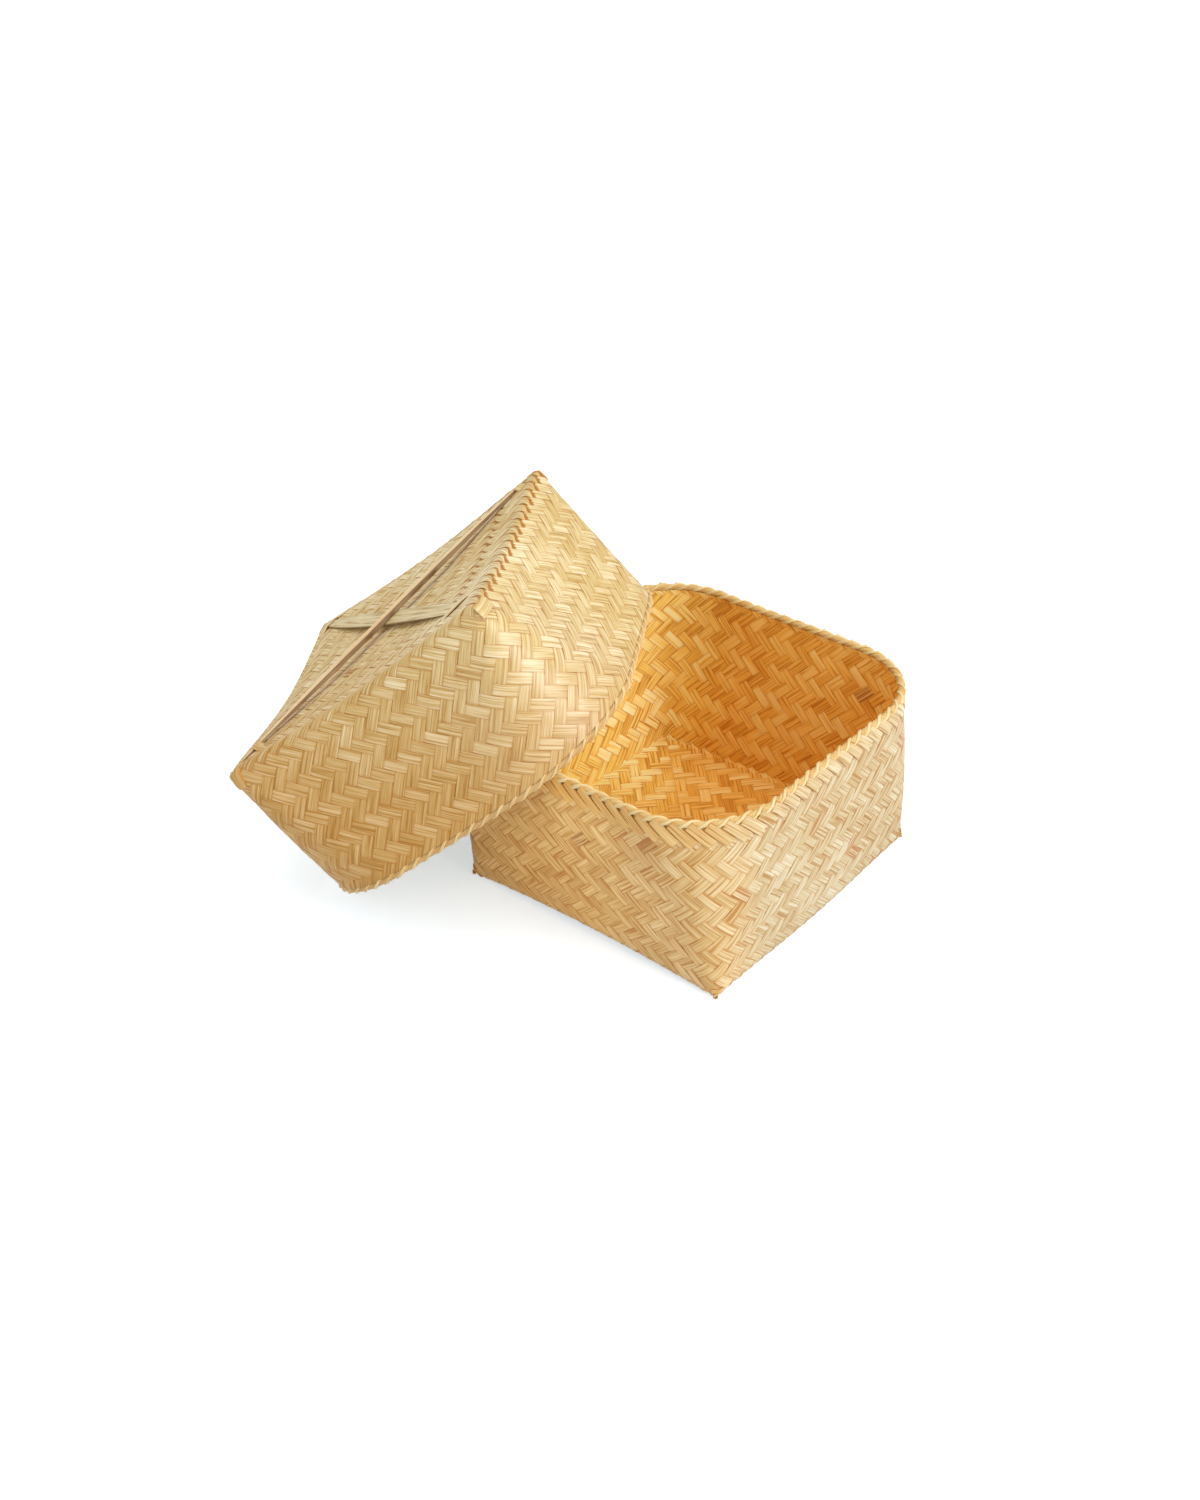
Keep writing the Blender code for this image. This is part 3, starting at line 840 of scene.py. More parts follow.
    def arch(self, share: Points) -> Points:
        """Rise of the floor's edge.

        Args:
            share: Share of the way round, from the middle of the +X side.

        Returns:
            The rise, which is 0 at the corners.
        """
        sides = np.array(self.arches)
        along = (share % 1.0) * 4 + 0.5
        side = np.floor(along).astype(int) % 4
        offset = 2 * (along - np.floor(along)) - 1
        return sides[side] * (1 - offset ** 2) ** self.arch_power

    def face_rise(self, share: Points, inward: Points) -> Points:
        """Rise of the closed face at a place round it and a share of the way in to its middle."""
        way_in = np.clip(inward / self.dish_reach, 0, 1)
        return self.arch(share) * (1 - way_in) + self.dish * way_in

    def face_rise_at(self, x: Points, y: Points) -> Points:
        """Rise of the closed face.

        Args:
            x: Places along the basket's own X.
            y: Places along its own Y.

        Returns:
            The rise at those places.
        """
        across = abs(x) >= abs(y)
        reach = np.maximum(np.maximum(abs(x), abs(y)), TINY)
        sector = np.where(across, np.where(x > 0, 0.0, 2.0), np.where(y > 0, 1.0, 3.0))
        beside = np.where(across, np.where(x > 0, y, -y), np.where(y > 0, -x, x))
        return self.face_rise((sector + beside / (2 * reach)) / 4, 1 - 2 * reach / self.side)

    def surface(self, share: Points, reach: Points, stand_off: Points) -> Points:
        """Point of the developed surface, in the row frame.

        Args:
            share: Share of the way round, from the middle of the +X side.
            reach: Distance up the wall from the fold's middle, below zero on the floor.
            stand_off: Distance outwards from the outer face.

        Returns:
            Places in the row frame, with X, Y and Z in the last axis.
        """
        past_fold = reach - self.arc / 2
        turned = np.clip((reach + self.arc / 2) / self.fold_radius, 0, math.pi / 2)
        climbed = np.maximum(past_fold, 0) * self.climb
        climb_share = np.clip(reach / self.wall_reach, 0, 1)
        on_wall, wall_radius = self.girth(self.fold_radius + climbed)
        half = np.where(climbed > 0, on_wall, self.floor_half + self.fold_radius * np.sin(turned))
        half = half + np.minimum(reach + self.arc / 2, 0)
        foot_shift = around(self.foot_shifts, share) * (1 - climb_share)
        half = half + foot_shift * smooth(1 + reach / (self.FOOT_FADE * self.side))
        half = half + around(self.waist_shifts, share) * np.sin(math.pi * climb_share)
        shrinking = smooth(1 + past_fold / (self.CORNER_FADE * self.arc))
        radius = np.where(climbed > 0, wall_radius, self.foot_radius * shrinking)
        place, out = self.ring(half, np.minimum(radius, half), share)
        height = self.fold_radius * (1 - np.cos(turned)) + climbed
        fade = np.clip(1 - reach / self.wall_reach, 0, 1) ** self.RISE_FADE_POWER
        height = height + self.face_rise(share, -2 * reach / self.side) * fade
        height = height + around(self.rim_lifts, share) * climb_share ** 2
        sideways = out * (np.sin(turned) * stand_off)[..., None]
        upwards = (height - np.cos(turned) * stand_off)[..., None]
        return self.world(np.concatenate((place + sideways, upwards), axis=-1))

    def lay(
        self, across: Points, along: Points, stand_off: Points, quarter_turn: bool
    ) -> Points:
        """Point of a strip that runs along a diagonal of the floor and on up the walls.

        Args:
            across: Distance from the diagonal.
            along: Distance along it from the floor's middle.
            stand_off: Distance outwards from the outer face.
            quarter_turn: Whether the strip belongs to the set that runs the other way.

        Returns:
            Places in the row frame.
        """
        x, y = (across + along) * ROOT_HALF, (along - across) * ROOT_HALF
        forward = along >= 0
        east_or_west = (across > 0) == forward
        reach = np.where(east_or_west, abs(x), abs(y)) - self.side / 2
        sign = np.where(forward, 1.0, -1.0)
        beside = np.where(east_or_west, y, -x) * sign
        sector = np.where(east_or_west, 0.0, 1.0) + np.where(forward, 0.0, 2.0)
        width = 2 * np.maximum(self.side / 2 + np.minimum(reach, 0), TINY)
        share = (sector + beside / width) / 4 + (0.25 if quarter_turn else 0.0)
        return self.surface(share, reach, stand_off)

    def rope_line(self, share: Points) -> tuple[Points, Points]:
        """Middle of the rim's double wall at its top edge.

        Args:
            share: Share of the way round, from the middle of the +X side.

        Returns:
            Places in the own frame and the unit ways out of the basket there, without Z.
        """
        half, radius = self.girth(np.array(self.wall_height))
        inset = self.layer_thickness + self.layer_gap / 2
        ones = np.ones_like(share)
        place, out = self.ring(half * ones, radius * ones, share)
        return place - out * inset, out


@dataclass
class WovenLayer:
    """One woven layer of a basket: two sets of strips in a twill of two over, two under.

    Attributes:
        basket: The basket that it belongs to.
        layer: Which of the basket's two layers it is.
        finish: Its finish.
        phase: Row of the twill at the floor's edge.
        strip_thickness: Thickness of a strip.
        relief: How far the middle of a strip goes up and down as it passes over and under.
        fill: Share of its lane that a strip fills.
        bulge: Rise of the middle of a float.
        steps_per_cell: Steps along a strip for each strip that it crosses.
        lean: Painted sheen: tone added to the floats that lean one way on the walls, as their
            fibres catch the light.
        floor_sheen_tones: Painted sheen: tone added on the floor to the warp strips and to the weft
            strips.
        pinches: Places along the +X side's warp strips, measured up the wall from the fold, where
            the strips draw in and leave slits, with the share of their width that they lose.
        slit_reach: How far along a strip a slit reaches to each side.
        stains: Share of the floats that have red-brown streaks.
    """

    basket: Basket
    layer: Layer
    finish: StripFinish
    phase: int = 1
    strip_thickness: float = 0.32 * MILLIMETRE
    relief: float = 0.18 * MILLIMETRE
    fill: float = 0.985
    bulge: float = 0.09 * MILLIMETRE
    steps_per_cell: int = 4
    lean: float = 0.0
    floor_sheen_tones: tuple[float, float] = (0.0, 0.0)
    pinches: tuple[tuple[float, float], ...] = ()
    slit_reach: float = 2.2 * MILLIMETRE
    stains: float = 0.03

    def build(self, seed: int) -> list[bpy.types.Object]:
        """Make both sets of strips.

        Args:
            seed: Start of the random draws.

        Returns:
            The two pieces.
        """
        body = self.basket.body
        node = f"{body}_{'outer_wall' if self.layer is Layer.OUTER else 'lining'}"
        made = []
        for number, strips in enumerate(StripSet):
            draw = np.random.default_rng(seed + number)
            lanes = range(2 * self.basket.pitches)
            parts = [Strip(self, strips, lane, draw).build() for lane in lanes]
            name = f"{body}_{self.layer.value}_{strips.value}_strips"
            made.append(Bench.finish(name, parts, self.finish, body, node))
        return made

    def over(self, offset: float, cells: Points) -> Points:
        """Where a strip passes over.

        Args:
            offset: The strip's distance from the diagonal.
            cells: Its crossings, counted from the diagonal across it.

        Returns:
            Whether it passes over at each crossing.
        """
        width = self.basket.strip_width
        centres = (cells + 0.5) * width
        rows = np.round((abs(offset) + abs(centres)) / width).astype(int) - self.basket.pitches
        rising_on_top = (rows + self.phase) % 4 < 2
        rising = offset * centres > 0
        return rising_on_top == rising


@dataclass
class Strip:
    """One strip of a woven layer, up one wall, across the floor and up the wall at its other end.

    Attributes:
        weave: The layer that it belongs to.
        strips: The set of strips that it belongs to.
        lane: Its number in that set.
        draw: Source of its random draws.
    """

    SPARE_CELLS: ClassVar[int] = 4
    FLOAT_TONES: ClassVar[tuple[float, float]] = (0.42, 0.75)
    STRIP_TONES: ClassVar[tuple[float, float]] = (0.55, 1.1)
    FLOAT_RISES: ClassVar[float] = 0.035 * MILLIMETRE
    WIDTHS: ClassVar[float] = 0.012
    WANDER: ClassVar[float] = 0.06 * MILLIMETRE
    WANDER_LENGTH: ClassVar[float] = 4.0
    WANDER_GROWTH: ClassVar[float] = 3.1
    WANDER_PHASE: ClassVar[float] = 2.0
    BORDER: ClassVar[float] = 0.03 * MILLIMETRE
    TURN_SPEED: ClassVar[float] = 1.5
    SLIT_SHADE: ClassVar[float] = 16.0
    MAP_START: ClassVar[float] = 3.7

    weave: WovenLayer
    strips: StripSet
    lane: int
    draw: np.random.Generator

    def __post_init__(self) -> None:
        """Cut the strip, and draw its tones and its unevenness."""
        weave, draw = self.weave, self.draw
        basket, width = weave.basket, weave.basket.strip_width
        self.offset = (self.lane - basket.pitches + 0.5) * width
        reach = math.sqrt(2) * (basket.side / 2 + basket.wall_reach)
        self.half_length = reach - abs(self.offset)
        self.stations = self._cut(width / weave.steps_per_cell)
        first = math.floor(-self.half_length / width) - self.SPARE_CELLS
        self.cells = np.arange(first, 1 - first)
        self.over = weave.over(self.offset, self.cells)
        self.floats = np.cumsum(np.concatenate(([0], np.diff(self.over.astype(int)) != 0)))
        count = self.floats[-1] + 1
        float_tones = bounded(draw, *self.FLOAT_TONES, count)
        self.float_rise = draw.normal(0.0, self.FLOAT_RISES, count)
        self.stained = (draw.random(count) < weave.stains).astype(float)[self.floats]
        self.tone = float(bounded(draw, *self.STRIP_TONES))
        self.fill = weave.fill * (1 + draw.normal(0.0, self.WIDTHS))
        self.wander = draw.normal(0.0, self.WANDER, 3)
        # Painted sheen: floats that lean one way on the walls, and each set on the floor, are made
        # lighter and darker as their fibres catch the light.
        leaning_sheen = np.where(self.offset * (self.cells + 0.5) > 0, 1.0, -1.0) * weave.lean
        on_floor = abs(self.offset) + abs(self.cells + 0.5) * width < basket.pitches * width
        floor_sheen = weave.floor_sheen_tones[self.strips is StripSet.WEFT]
        self.cell_tones = float_tones[self.floats] + np.where(on_floor, floor_sheen, leaning_sheen)

    def _cut(self, step: float) -> Points:
        """Stations along the strip.

        Args:
            step: Distance between two of them.

        Returns:
            Even stations from the middle, and one or two uneven ones at each end, whichever gives
            a number of steps that a flat strip can be cut into.
        """
        half = self.half_length
        inner = math.floor(half / step - 0.5)
        last = [(inner * step + half) / 2, half] if inner % 2 == 0 else [half]
        even = step * np.arange(-inner, inner + 1)
        return np.concatenate((-np.array(last[::-1]), even, last))

    def _along(self, station: Points) -> Points:
        """Distance along the strip at a station."""
        return self.stations[station.astype(int)]

    def _cell(self, station: Points) -> Points:
        """Crossing that a station lies in."""
        spot = np.floor(self._along(station) / self.weave.basket.strip_width + TINY).astype(int)
        return np.clip(spot - self.cells[0], 0, len(self.cells) - 1)

    def _level(self, station: Points, shift: float = 0.0) -> Points:
        """Height of the strip between under and over, smooth along it.

        Args:
            station: Stations along the strip.
            shift: Distance along the strip that is added, in strip widths.

        Returns:
            -1 where it is under, 1 where it is over.
        """
        centre = self._along(station) / self.weave.basket.strip_width - 0.5 + shift
        low = np.floor(centre + TINY).astype(int)
        turn = smooth(((centre - low) - 0.5) * self.TURN_SPEED + 0.5)
        index = np.clip(low - self.cells[0], 0, len(self.cells) - 2)
        state = np.where(self.over, 1.0, -1.0)
        return state[index] * (1 - turn) + state[index + 1] * turn

    def _slits(self, station: Points, crossing: StripSet) -> Points:
        """How strongly the +X side's slits act on the strip.

        Args:
            station: Stations along the strip.
            crossing: The set of strips that is asked for.

        Returns:
            Share that is lost at each station, 0 all along a strip of the other set.
        """
        along, offset = self._along(station), self.offset
        distance = np.where(offset * along > 0, abs(offset + along), abs(offset - along))
        up_wall = distance * ROOT_HALF - self.weave.basket.side / 2
        ahead = along > 0 if self.strips is StripSet.WARP else along < 0
        act = sum(
            loss * np.exp(-((up_wall - spot) / self.weave.slit_reach) ** 2)
            for spot, loss in self.weave.pinches
        )
        return act * (ahead & (offset > 0) & (self.strips is crossing))

    def _place(self, station: Points, across: Points, through: Points) -> Points:
        """Place of the strip's points.

        Args:
            station: Their stations along the strip.
            across: Their shares across it.
            through: Their shares through its thickness.

        Returns:
            Places in the row frame.
        """
        weave, offset = self.weave, self.offset
        basket, width = weave.basket, weave.basket.strip_width
        along = self._along(station)
        at_end = smooth((abs(along) - self.half_length + width) / width)
        side = across * width * self.fill * (1 - self._slits(station, StripSet.WARP))
        sway = 0.0
        for number, size in enumerate(self.wander):
            length = width * (self.WANDER_LENGTH + self.WANDER_GROWTH * number)
            sway = sway + size * np.sin(along / length + self.WANDER_PHASE * number)
        side = side + sway * (1 - at_end)
        shear = -np.sign(offset) * np.sign(along) * side * at_end
        level = self._level(station)
        arch = np.maximum(self._level(station, -0.5) + self._level(station, 0.5), 0.0) / 2
        rise = weave.relief * level + weave.bulge * arch * (1 - at_end)
        rise = rise + self.float_rise[self.floats[self._cell(station)]] * (level > 0)
        rise = rise + through * weave.strip_thickness
        if weave.layer is Layer.OUTER:
            stand_off = -basket.layer_thickness / 2 + rise
        else:
            stand_off = -(1.5 * basket.layer_thickness + basket.layer_gap) - rise
            side = -side
            shear = -shear
        most = basket.pitches * width - self.BORDER
        distance = math.copysign(1, offset) * np.clip(abs(offset + side), self.BORDER, most)
        return basket.lay(distance, along + shear, stand_off, self.strips is StripSet.WEFT)

    def _chart(self, station: Points, across: Points) -> tuple[Points, Points]:
        """Place on the strip in strip widths."""
        along = self._along(station) / self.weave.basket.strip_width
        return StripMesh.lane(across, self.lane), along + self.lane * self.MAP_START

    def _stain_and_slit_shade(self, station: Points) -> Points:
        """Stain of the strip's floats, and painted shadow where the strip shows through a slit."""
        slit = self.SLIT_SHADE * self._slits(station, StripSet.WEFT)
        return self.stained[self._cell(station)] + slit * ~self.over[self._cell(station)]

    def build(self) -> bpy.types.Object:
        """Lay the strip.

        Returns:
            Object that holds it.
        """
        tones = {
            "strip_tone": lambda station: np.full(len(station), self.tone),
            "float_tone": lambda station: self.cell_tones[self._cell(station)],
            "dive_shade_share": lambda station: 0.5 - 0.5 * self._level(station),
            "stain_and_slit_shade": self._stain_and_slit_shade,
        }
        return StripMesh.lay(len(self.stations) - 1, self._place, self._chart, tones)


@dataclass
class Rim:
    """Rim of a basket: folded strip ends and a rope of two strands twisted along the edge.

    Attributes:
        basket: The basket that it belongs to.
        leaf_finish: Finish of the folded ends.
        rope_finish: Finish of the rope.
        leaves_outside: Whether the folded ends lie on the outer face.
        leaf_length: Length of a folded end that shows.
        leaf_drop: How far it reaches to the right, and down but for leaf_top.
        leaf_top: How far over the fold's line it starts.
        leaf_width: Width of a folded end.
        leaf_thickness: Thickness of a folded end.
        leaf_face: Distance of the folded ends from the outer face, where they lie on it.
        leaf_start: How far a folded end stands off at the rope.
        leaf_step: How far it goes out from there.
        leaf_crown: Rise of its middle.
        leaf_tuck: How far its point dips.
        leaf_tilt: How much further one of its edges stands off than the other.
        rope_size: Size of the rope, 1 for its usual size.
        rope_radius: Distance of the strands' middle fibres from the rope's middle.
        side_radius: The same for the fibres beside them.
        fibre_width: Width of one of a strand's three fibres.
        fibre_thickness: Its thickness.
        fibre_knots: How unevenly thick it is.
        fibre_crown: Rise of its middle over its edges.
        rope_lift: Height of the rope's middle over the wall's edge.
        leaf_steps: Steps along a folded end.
        steps_per_lobe: Steps along the rope for each of its lobes.
    """

    LEAN: ClassVar[float] = math.radians(45)
    BEND: ClassVar[float] = math.radians(8)
    BEND_SHARE: ClassVar[float] = 0.42
    TUCK_SHARE: ClassVar[float] = 0.14
    RUN_CUTS: ClassVar[int] = 40
    LENGTHS: ClassVar[float] = 0.015
    WIDTHS: ClassVar[float] = 0.02
    LEAF_TONES: ClassVar[tuple[float, float]] = (0.5, 1.0)
    LEAF_DIVE: ClassVar[float] = 0.6
    FIBRE_SPACING: ClassVar[float] = 0.82
    SUNK_SHADE: ClassVar[float] = 0.8
    SWELL_TONE: ClassVar[float] = 0.5

    basket: Basket
    leaf_finish: StripFinish
    rope_finish: StripFinish
    leaves_outside: bool
    leaf_length: float = 15.8 * MILLIMETRE
    leaf_drop: float = 10.0 * MILLIMETRE
    leaf_top: float = 0.6 * MILLIMETRE
    leaf_width: float = 5.6 * MILLIMETRE
    leaf_thickness: float = 0.42 * MILLIMETRE
    leaf_face: float = 0.10 * MILLIMETRE
    leaf_start: float = 0.10 * MILLIMETRE
    leaf_step: float = 0.12 * MILLIMETRE
    leaf_crown: float = 0.25 * MILLIMETRE
    leaf_tuck: float = 1.0 * MILLIMETRE
    leaf_tilt: float = 0.18 * MILLIMETRE
    rope_size: float = 1.0
    rope_radius: float = 1.55 * MILLIMETRE
    side_radius: float = 0.95 * MILLIMETRE
    fibre_width: float = 1.5 * MILLIMETRE
    fibre_thickness: float = 0.8 * MILLIMETRE
    fibre_knots: float = 0.07 * MILLIMETRE
    fibre_crown: float = 0.16 * MILLIMETRE
    rope_lift: float = 1.45 * MILLIMETRE
    leaf_steps: int = 12
    steps_per_lobe: int = 7

    def lobes(self) -> int:
        """Number of the rope's lobes and of folded ends, one to each strip at the rim."""
        return 4 * self.basket.pitches

    def build(self, seed: int) -> list[bpy.types.Object]:
        """Make the folded ends and the rope.

        Args:
            seed: Start of the random draws.

        Returns:
            The pieces.
        """
        body = self.basket.body
        draw = np.random.default_rng(seed)
        leaves = [self._leaf(number, draw) for number in range(self.lobes())]
        name, node = f"{body}_rim_leaves", f"{body}_rim_folds"
        pieces = [Bench.finish(name, leaves, self.leaf_finish, body, node)]
        for strand in (0, 1):
            fibres = [self._fibre(strand, number, draw) for number in (-1, 0, 1)]
            name, node = f"{body}_rim_strand_{strand + 1}", f"{body}_rim_rope"
            pieces.append(Bench.finish(name, fibres, self.rope_finish, body, node))
        return pieces

    def _leaf(self, number: int, draw: np.random.Generator) -> bpy.types.Object:
        """Fold one strip end down from the rope, leaning to the right, and tuck its point.

        Args:
            number: Its number round the rim.
            draw: Source of the random draws.

        Returns:
            Object that holds it.
        """
        basket, steps = self.basket, self.leaf_steps
        length = self.leaf_length * (1 + draw.normal(0, self.LENGTHS))
        width = self.leaf_width * (1 + draw.normal(0, self.WIDTHS))
        tone = float(bounded(draw, *self.LEAF_TONES))
        lane = (number + 0.5) / self.lobes() - 0.125
        outside = 1.0 if self.leaves_outside else -1.0
        inner_face = -(2 * basket.layer_thickness + basket.layer_gap)
        face = self.leaf_face if self.leaves_outside else inner_face
        run = np.linspace(0, 1, self.RUN_CUTS + 1)
        leans = self.LEAN - self.BEND * (1 - smooth(run / self.BEND_SHARE))
        right = np.concatenate(([0], np.cumsum(np.cos(leans[1:])))) * length / self.RUN_CUTS
        down = np.concatenate(([0], np.cumsum(np.sin(leans[1:])))) * length / self.RUN_CUTS
        right += self.leaf_drop - right[-1]
        down += self.leaf_drop - down[-1] - self.leaf_top

        def place(station: Points, across: Points, through: Points) -> Points:
            """Place of the leaf's points.

            Args:
                station: Their stations along the leaf.
                across: Their shares across it.
                through: Their shares through its thickness.

            Returns:
                Places in the row frame.
            """
            share = station / steps
            lean = np.interp(share, run, leans)
            side = across * width * outside
            beside = np.interp(share, run, right) + side * np.sin(lean) - basket.wall_reach
            reach = basket.wall_reach - np.interp(share, run, down) + side * np.cos(lean)
            rise = self.leaf_start + self.leaf_step * smooth(share * 3.0)
            rise = rise + self.leaf_crown * np.sin(math.pi * share)
            rise = rise - self.leaf_tuck * smooth((share - 1 + self.TUCK_SHARE) / self.TUCK_SHARE)
            rise = rise + across * self.leaf_tilt + through * self.leaf_thickness
            return basket.surface(lane + beside / (4 * basket.side), reach, face + outside * rise)

        def chart(station: Points, across: Points) -> tuple[Points, Points]:
            """Place on the leaf in strip widths."""
            return StripMesh.lane(across, number), station / steps * 2.6 + number * 1.7

        def dive_shade_share(station: Points) -> Points:
            """Painted shade at the leaf's two ends."""
            start = self.LEAF_DIVE - self.LEAF_DIVE * smooth(station / steps * 6)
            return np.maximum(start, smooth((station / steps - 0.9) / 0.1))

        tones = {"strip_tone": lambda station: np.full(len(station), tone), "dive_shade_share": dive_shade_share}
        return StripMesh.lay(steps, place, chart, tones)

    def _fibre(self, strand: int, number: int, draw: np.random.Generator) -> bpy.types.Object:
        """Run one fibre of a strand round the rope, closed on itself.

        Args:
            strand: The strand's number.
            number: The fibre's number in the strand, 0 for the middle one.
            draw: Source of the random draws.

        Returns:
            Object that holds it.
        """
        basket, lobes = self.basket, self.lobes()
        steps = lobes * self.steps_per_lobe
        radius = self.side_radius if number else self.rope_radius
        # Painted shade on the side fibres, which lie lower than the middle one.
        sunk_shade = self.SUNK_SHADE if number else 0.0
        middle = basket.wall_height + self.rope_lift * self.rope_size
        swell = draw.normal(0, 1, lobes + 1)
        swell[-1] = swell[0]

        def place(station: Points, across: Points, through: Points) -> Points:
            """Place of the fibre's points.

            Args:
                station: Their stations along the fibre.
                across: Their shares across it.
                through: Their shares through its thickness.

            Returns:
                Places in the row frame.
            """
            share = station / steps
            start = strand * math.pi + self.FIBRE_SPACING * number
            angle = share * lobes * math.pi + start + across * self.fibre_width / radius
            knot = np.interp(share * lobes, np.arange(lobes + 1), swell) * self.fibre_knots
            crown = self.fibre_crown * (1 - (2 * across) ** 2)
            away = (radius + knot + through * self.fibre_thickness + crown) * self.rope_size
            line, out = basket.rope_line(share)
            flat = line + out * (np.cos(angle) * away)[:, None]
            height = middle + np.sin(angle) * away + around(basket.rim_lifts, share)
            return basket.world(np.concatenate((flat, height[:, None]), axis=1))

        def chart(station: Points, across: Points) -> tuple[Points, Points]:
            """Place on the fibre in strip widths."""
            lane = StripMesh.lane(across, fill=0.4) + number * 5 + strand * 3
            return lane, station / self.steps_per_lobe * 1.4

        tones = {
            "strip_tone": lambda at: self.SWELL_TONE * swell[(at / self.steps_per_lobe).astype(int)],
            "dive_shade_share": lambda station: np.full(len(station), sunk_shade),
        }
        return StripMesh.lay(steps, place, chart, tones)


@dataclass(frozen=True)
class Flap:
    """Patch of strip that shows on one corner.

    Attributes:
        before: How far it reaches from the corner towards the side before it.
        after: How far it reaches towards the side after it.
        up_wall: How far it reaches up the wall.
        on_face: How far it reaches in over the closed face.
        upright: Whether its fibres run up the wall and not round the corner.
        lift: How far its free end stands off.
    """

    before: float
    after: float
    up_wall: float
    on_face: float
    upright: bool
    lift: float = 0.0


@dataclass
class CornerWrap:
    """Strip ends wrapped round the four pointed corners of a basket.

    Attributes:
        basket: The basket that they belong to.
        finish: Their finish.
        flaps: The flap of each corner.
        loop_radius: Radius of the small loop under each corner's tip, 0 for none.
        loop_width: Width of the strip that it is curled from.
        loop_thickness: Thickness of that strip.
        loop_inset: How far inside the corner's tip its middle stays.
        loop_lift: How far it stands over the closed face's level.
        thickness: Thickness of a flap.
        stand_off: Its distance from the outer face.
        tuck: How far its tucked end dips.
        steps: Steps along a flap or a loop.
    """

    TONES: ClassVar[float] = 0.3
    TUCK_SHARE: ClassVar[float] = 0.12
    FREE_SHARE: ClassVar[float] = 0.3
    LOOP_START: ClassVar[float] = 0.3 * math.pi
    LOOP_TURN: ClassVar[float] = 1.75 * math.pi

    basket: Basket
    finish: StripFinish
    flaps: tuple[Flap, Flap, Flap, Flap]
    loop_radius: float = 0.0
    loop_width: float = 1.8 * MILLIMETRE
    loop_thickness: float = 0.3 * MILLIMETRE
    loop_inset: float = 0.7 * MILLIMETRE
    loop_lift: float = 0.2 * MILLIMETRE
    thickness: float = 0.4 * MILLIMETRE
    stand_off: float = 0.16 * MILLIMETRE
    tuck: float = 0.6 * MILLIMETRE
    steps: int = 18

    def build(self, seed: int) -> list[bpy.types.Object]:
        """Make the four wraps.

        Args:
            seed: Start of the random draws.

        Returns:
            The pieces.
        """
        draw = np.random.default_rng(seed)
        body = self.basket.body
        pieces = []
        for corner, flap in enumerate(self.flaps):
            parts = [self._flap(corner, flap, draw)]
            if self.loop_radius:
                parts.append(self._loop(corner))
            name, node = f"{body}_corner_wrap_{corner + 1}", f"{body}_corner_tip_{corner + 1}"
            pieces.append(Bench.finish(name, parts, self.finish, body, node))
        return pieces

    def _flap(self, corner: int, flap: Flap, draw: np.random.Generator) -> bpy.types.Object:
        """Lay one flap round a corner, from one wall to the next.

        Args:
            corner: The corner's number, from 0.
            flap: The flap's sizes.
            draw: Source of the random draws.

        Returns:
            Object that holds it.
        """
        steps = self.steps
        tone = float(draw.normal(0, self.TONES))
        height = flap.up_wall + flap.on_face

        def place(station: Points, across: Points, through: Points) -> Points:
            """Place of the flap's points.

            Args:
                station: Their stations along the flap.
                across: Their shares across it.
                through: Their shares through its thickness.

            Returns:
                Places in the row frame.
            """
            way = station / steps
            along = way * (flap.before + flap.after) - flap.before
            share = (corner + 0.5) / 4 + along / (4 * self.basket.side)
            reach = flap.up_wall - (0.5 - across) * height
            tucked = smooth((self.TUCK_SHARE - way) / self.TUCK_SHARE) if flap.lift else 0 * way
            free = smooth((way - 1 + self.FREE_SHARE) / self.FREE_SHARE) * flap.lift
            rise = self.stand_off + free - self.tuck * tucked + self.thickness * (0.5 + through)
            return self.basket.surface(share, reach, rise)

        def chart(station: Points, across: Points) -> tuple[Points, Points]:
            """Place on the flap in strip widths."""
            if flap.upright:
                return StripMesh.lane(station / steps - 0.5, corner), across * 1.5
            return StripMesh.lane(across, corner), station / steps * 2.0

        tones = {"strip_tone": lambda station: np.full(len(station), tone)}
        return StripMesh.lay(steps, place, chart, tones)

    def _loop(self, corner: int) -> bpy.types.Object:
        """Curl the end of a strip into a small loop under a corner's tip.

        Args:
            corner: The corner's number, from 0.

        Returns:
            Object that holds it.
        """
        tip = self.basket.own(node_points(f"{self.basket.body}_corner_tip_{corner + 1}"))
        way = tip[:, :2].mean(axis=0)
        way = way / np.linalg.norm(way)
        aside = np.array((-way[1], way[0]))
        reach = float((tip[:, :2] @ way).max()) - self.loop_inset

        def place(station: Points, across: Points, through: Points) -> Points:
            """Place of the loop's points.

            Args:
                station: Their stations along the loop.
                across: Their shares across it.
                through: Their shares through its thickness.

            Returns:
                Places in the row frame.
            """
            angle = station / self.steps * self.LOOP_TURN + self.LOOP_START
            radius = self.loop_radius + through * self.loop_thickness
            out = (reach + across * self.loop_width)[:, None] * way
            flat = out + (np.cos(angle) * radius)[:, None] * aside
            height = self.loop_radius + self.loop_lift + np.sin(angle) * radius
            return self.basket.world(np.concatenate((flat, height[:, None]), axis=1))

        def chart(station: Points, across: Points) -> tuple[Points, Points]:
            """Place on the loop in strip widths."""
            return StripMesh.lane(across, fill=0.4), station / self.steps * 1.2

        return StripMesh.lay(self.steps, place, chart)


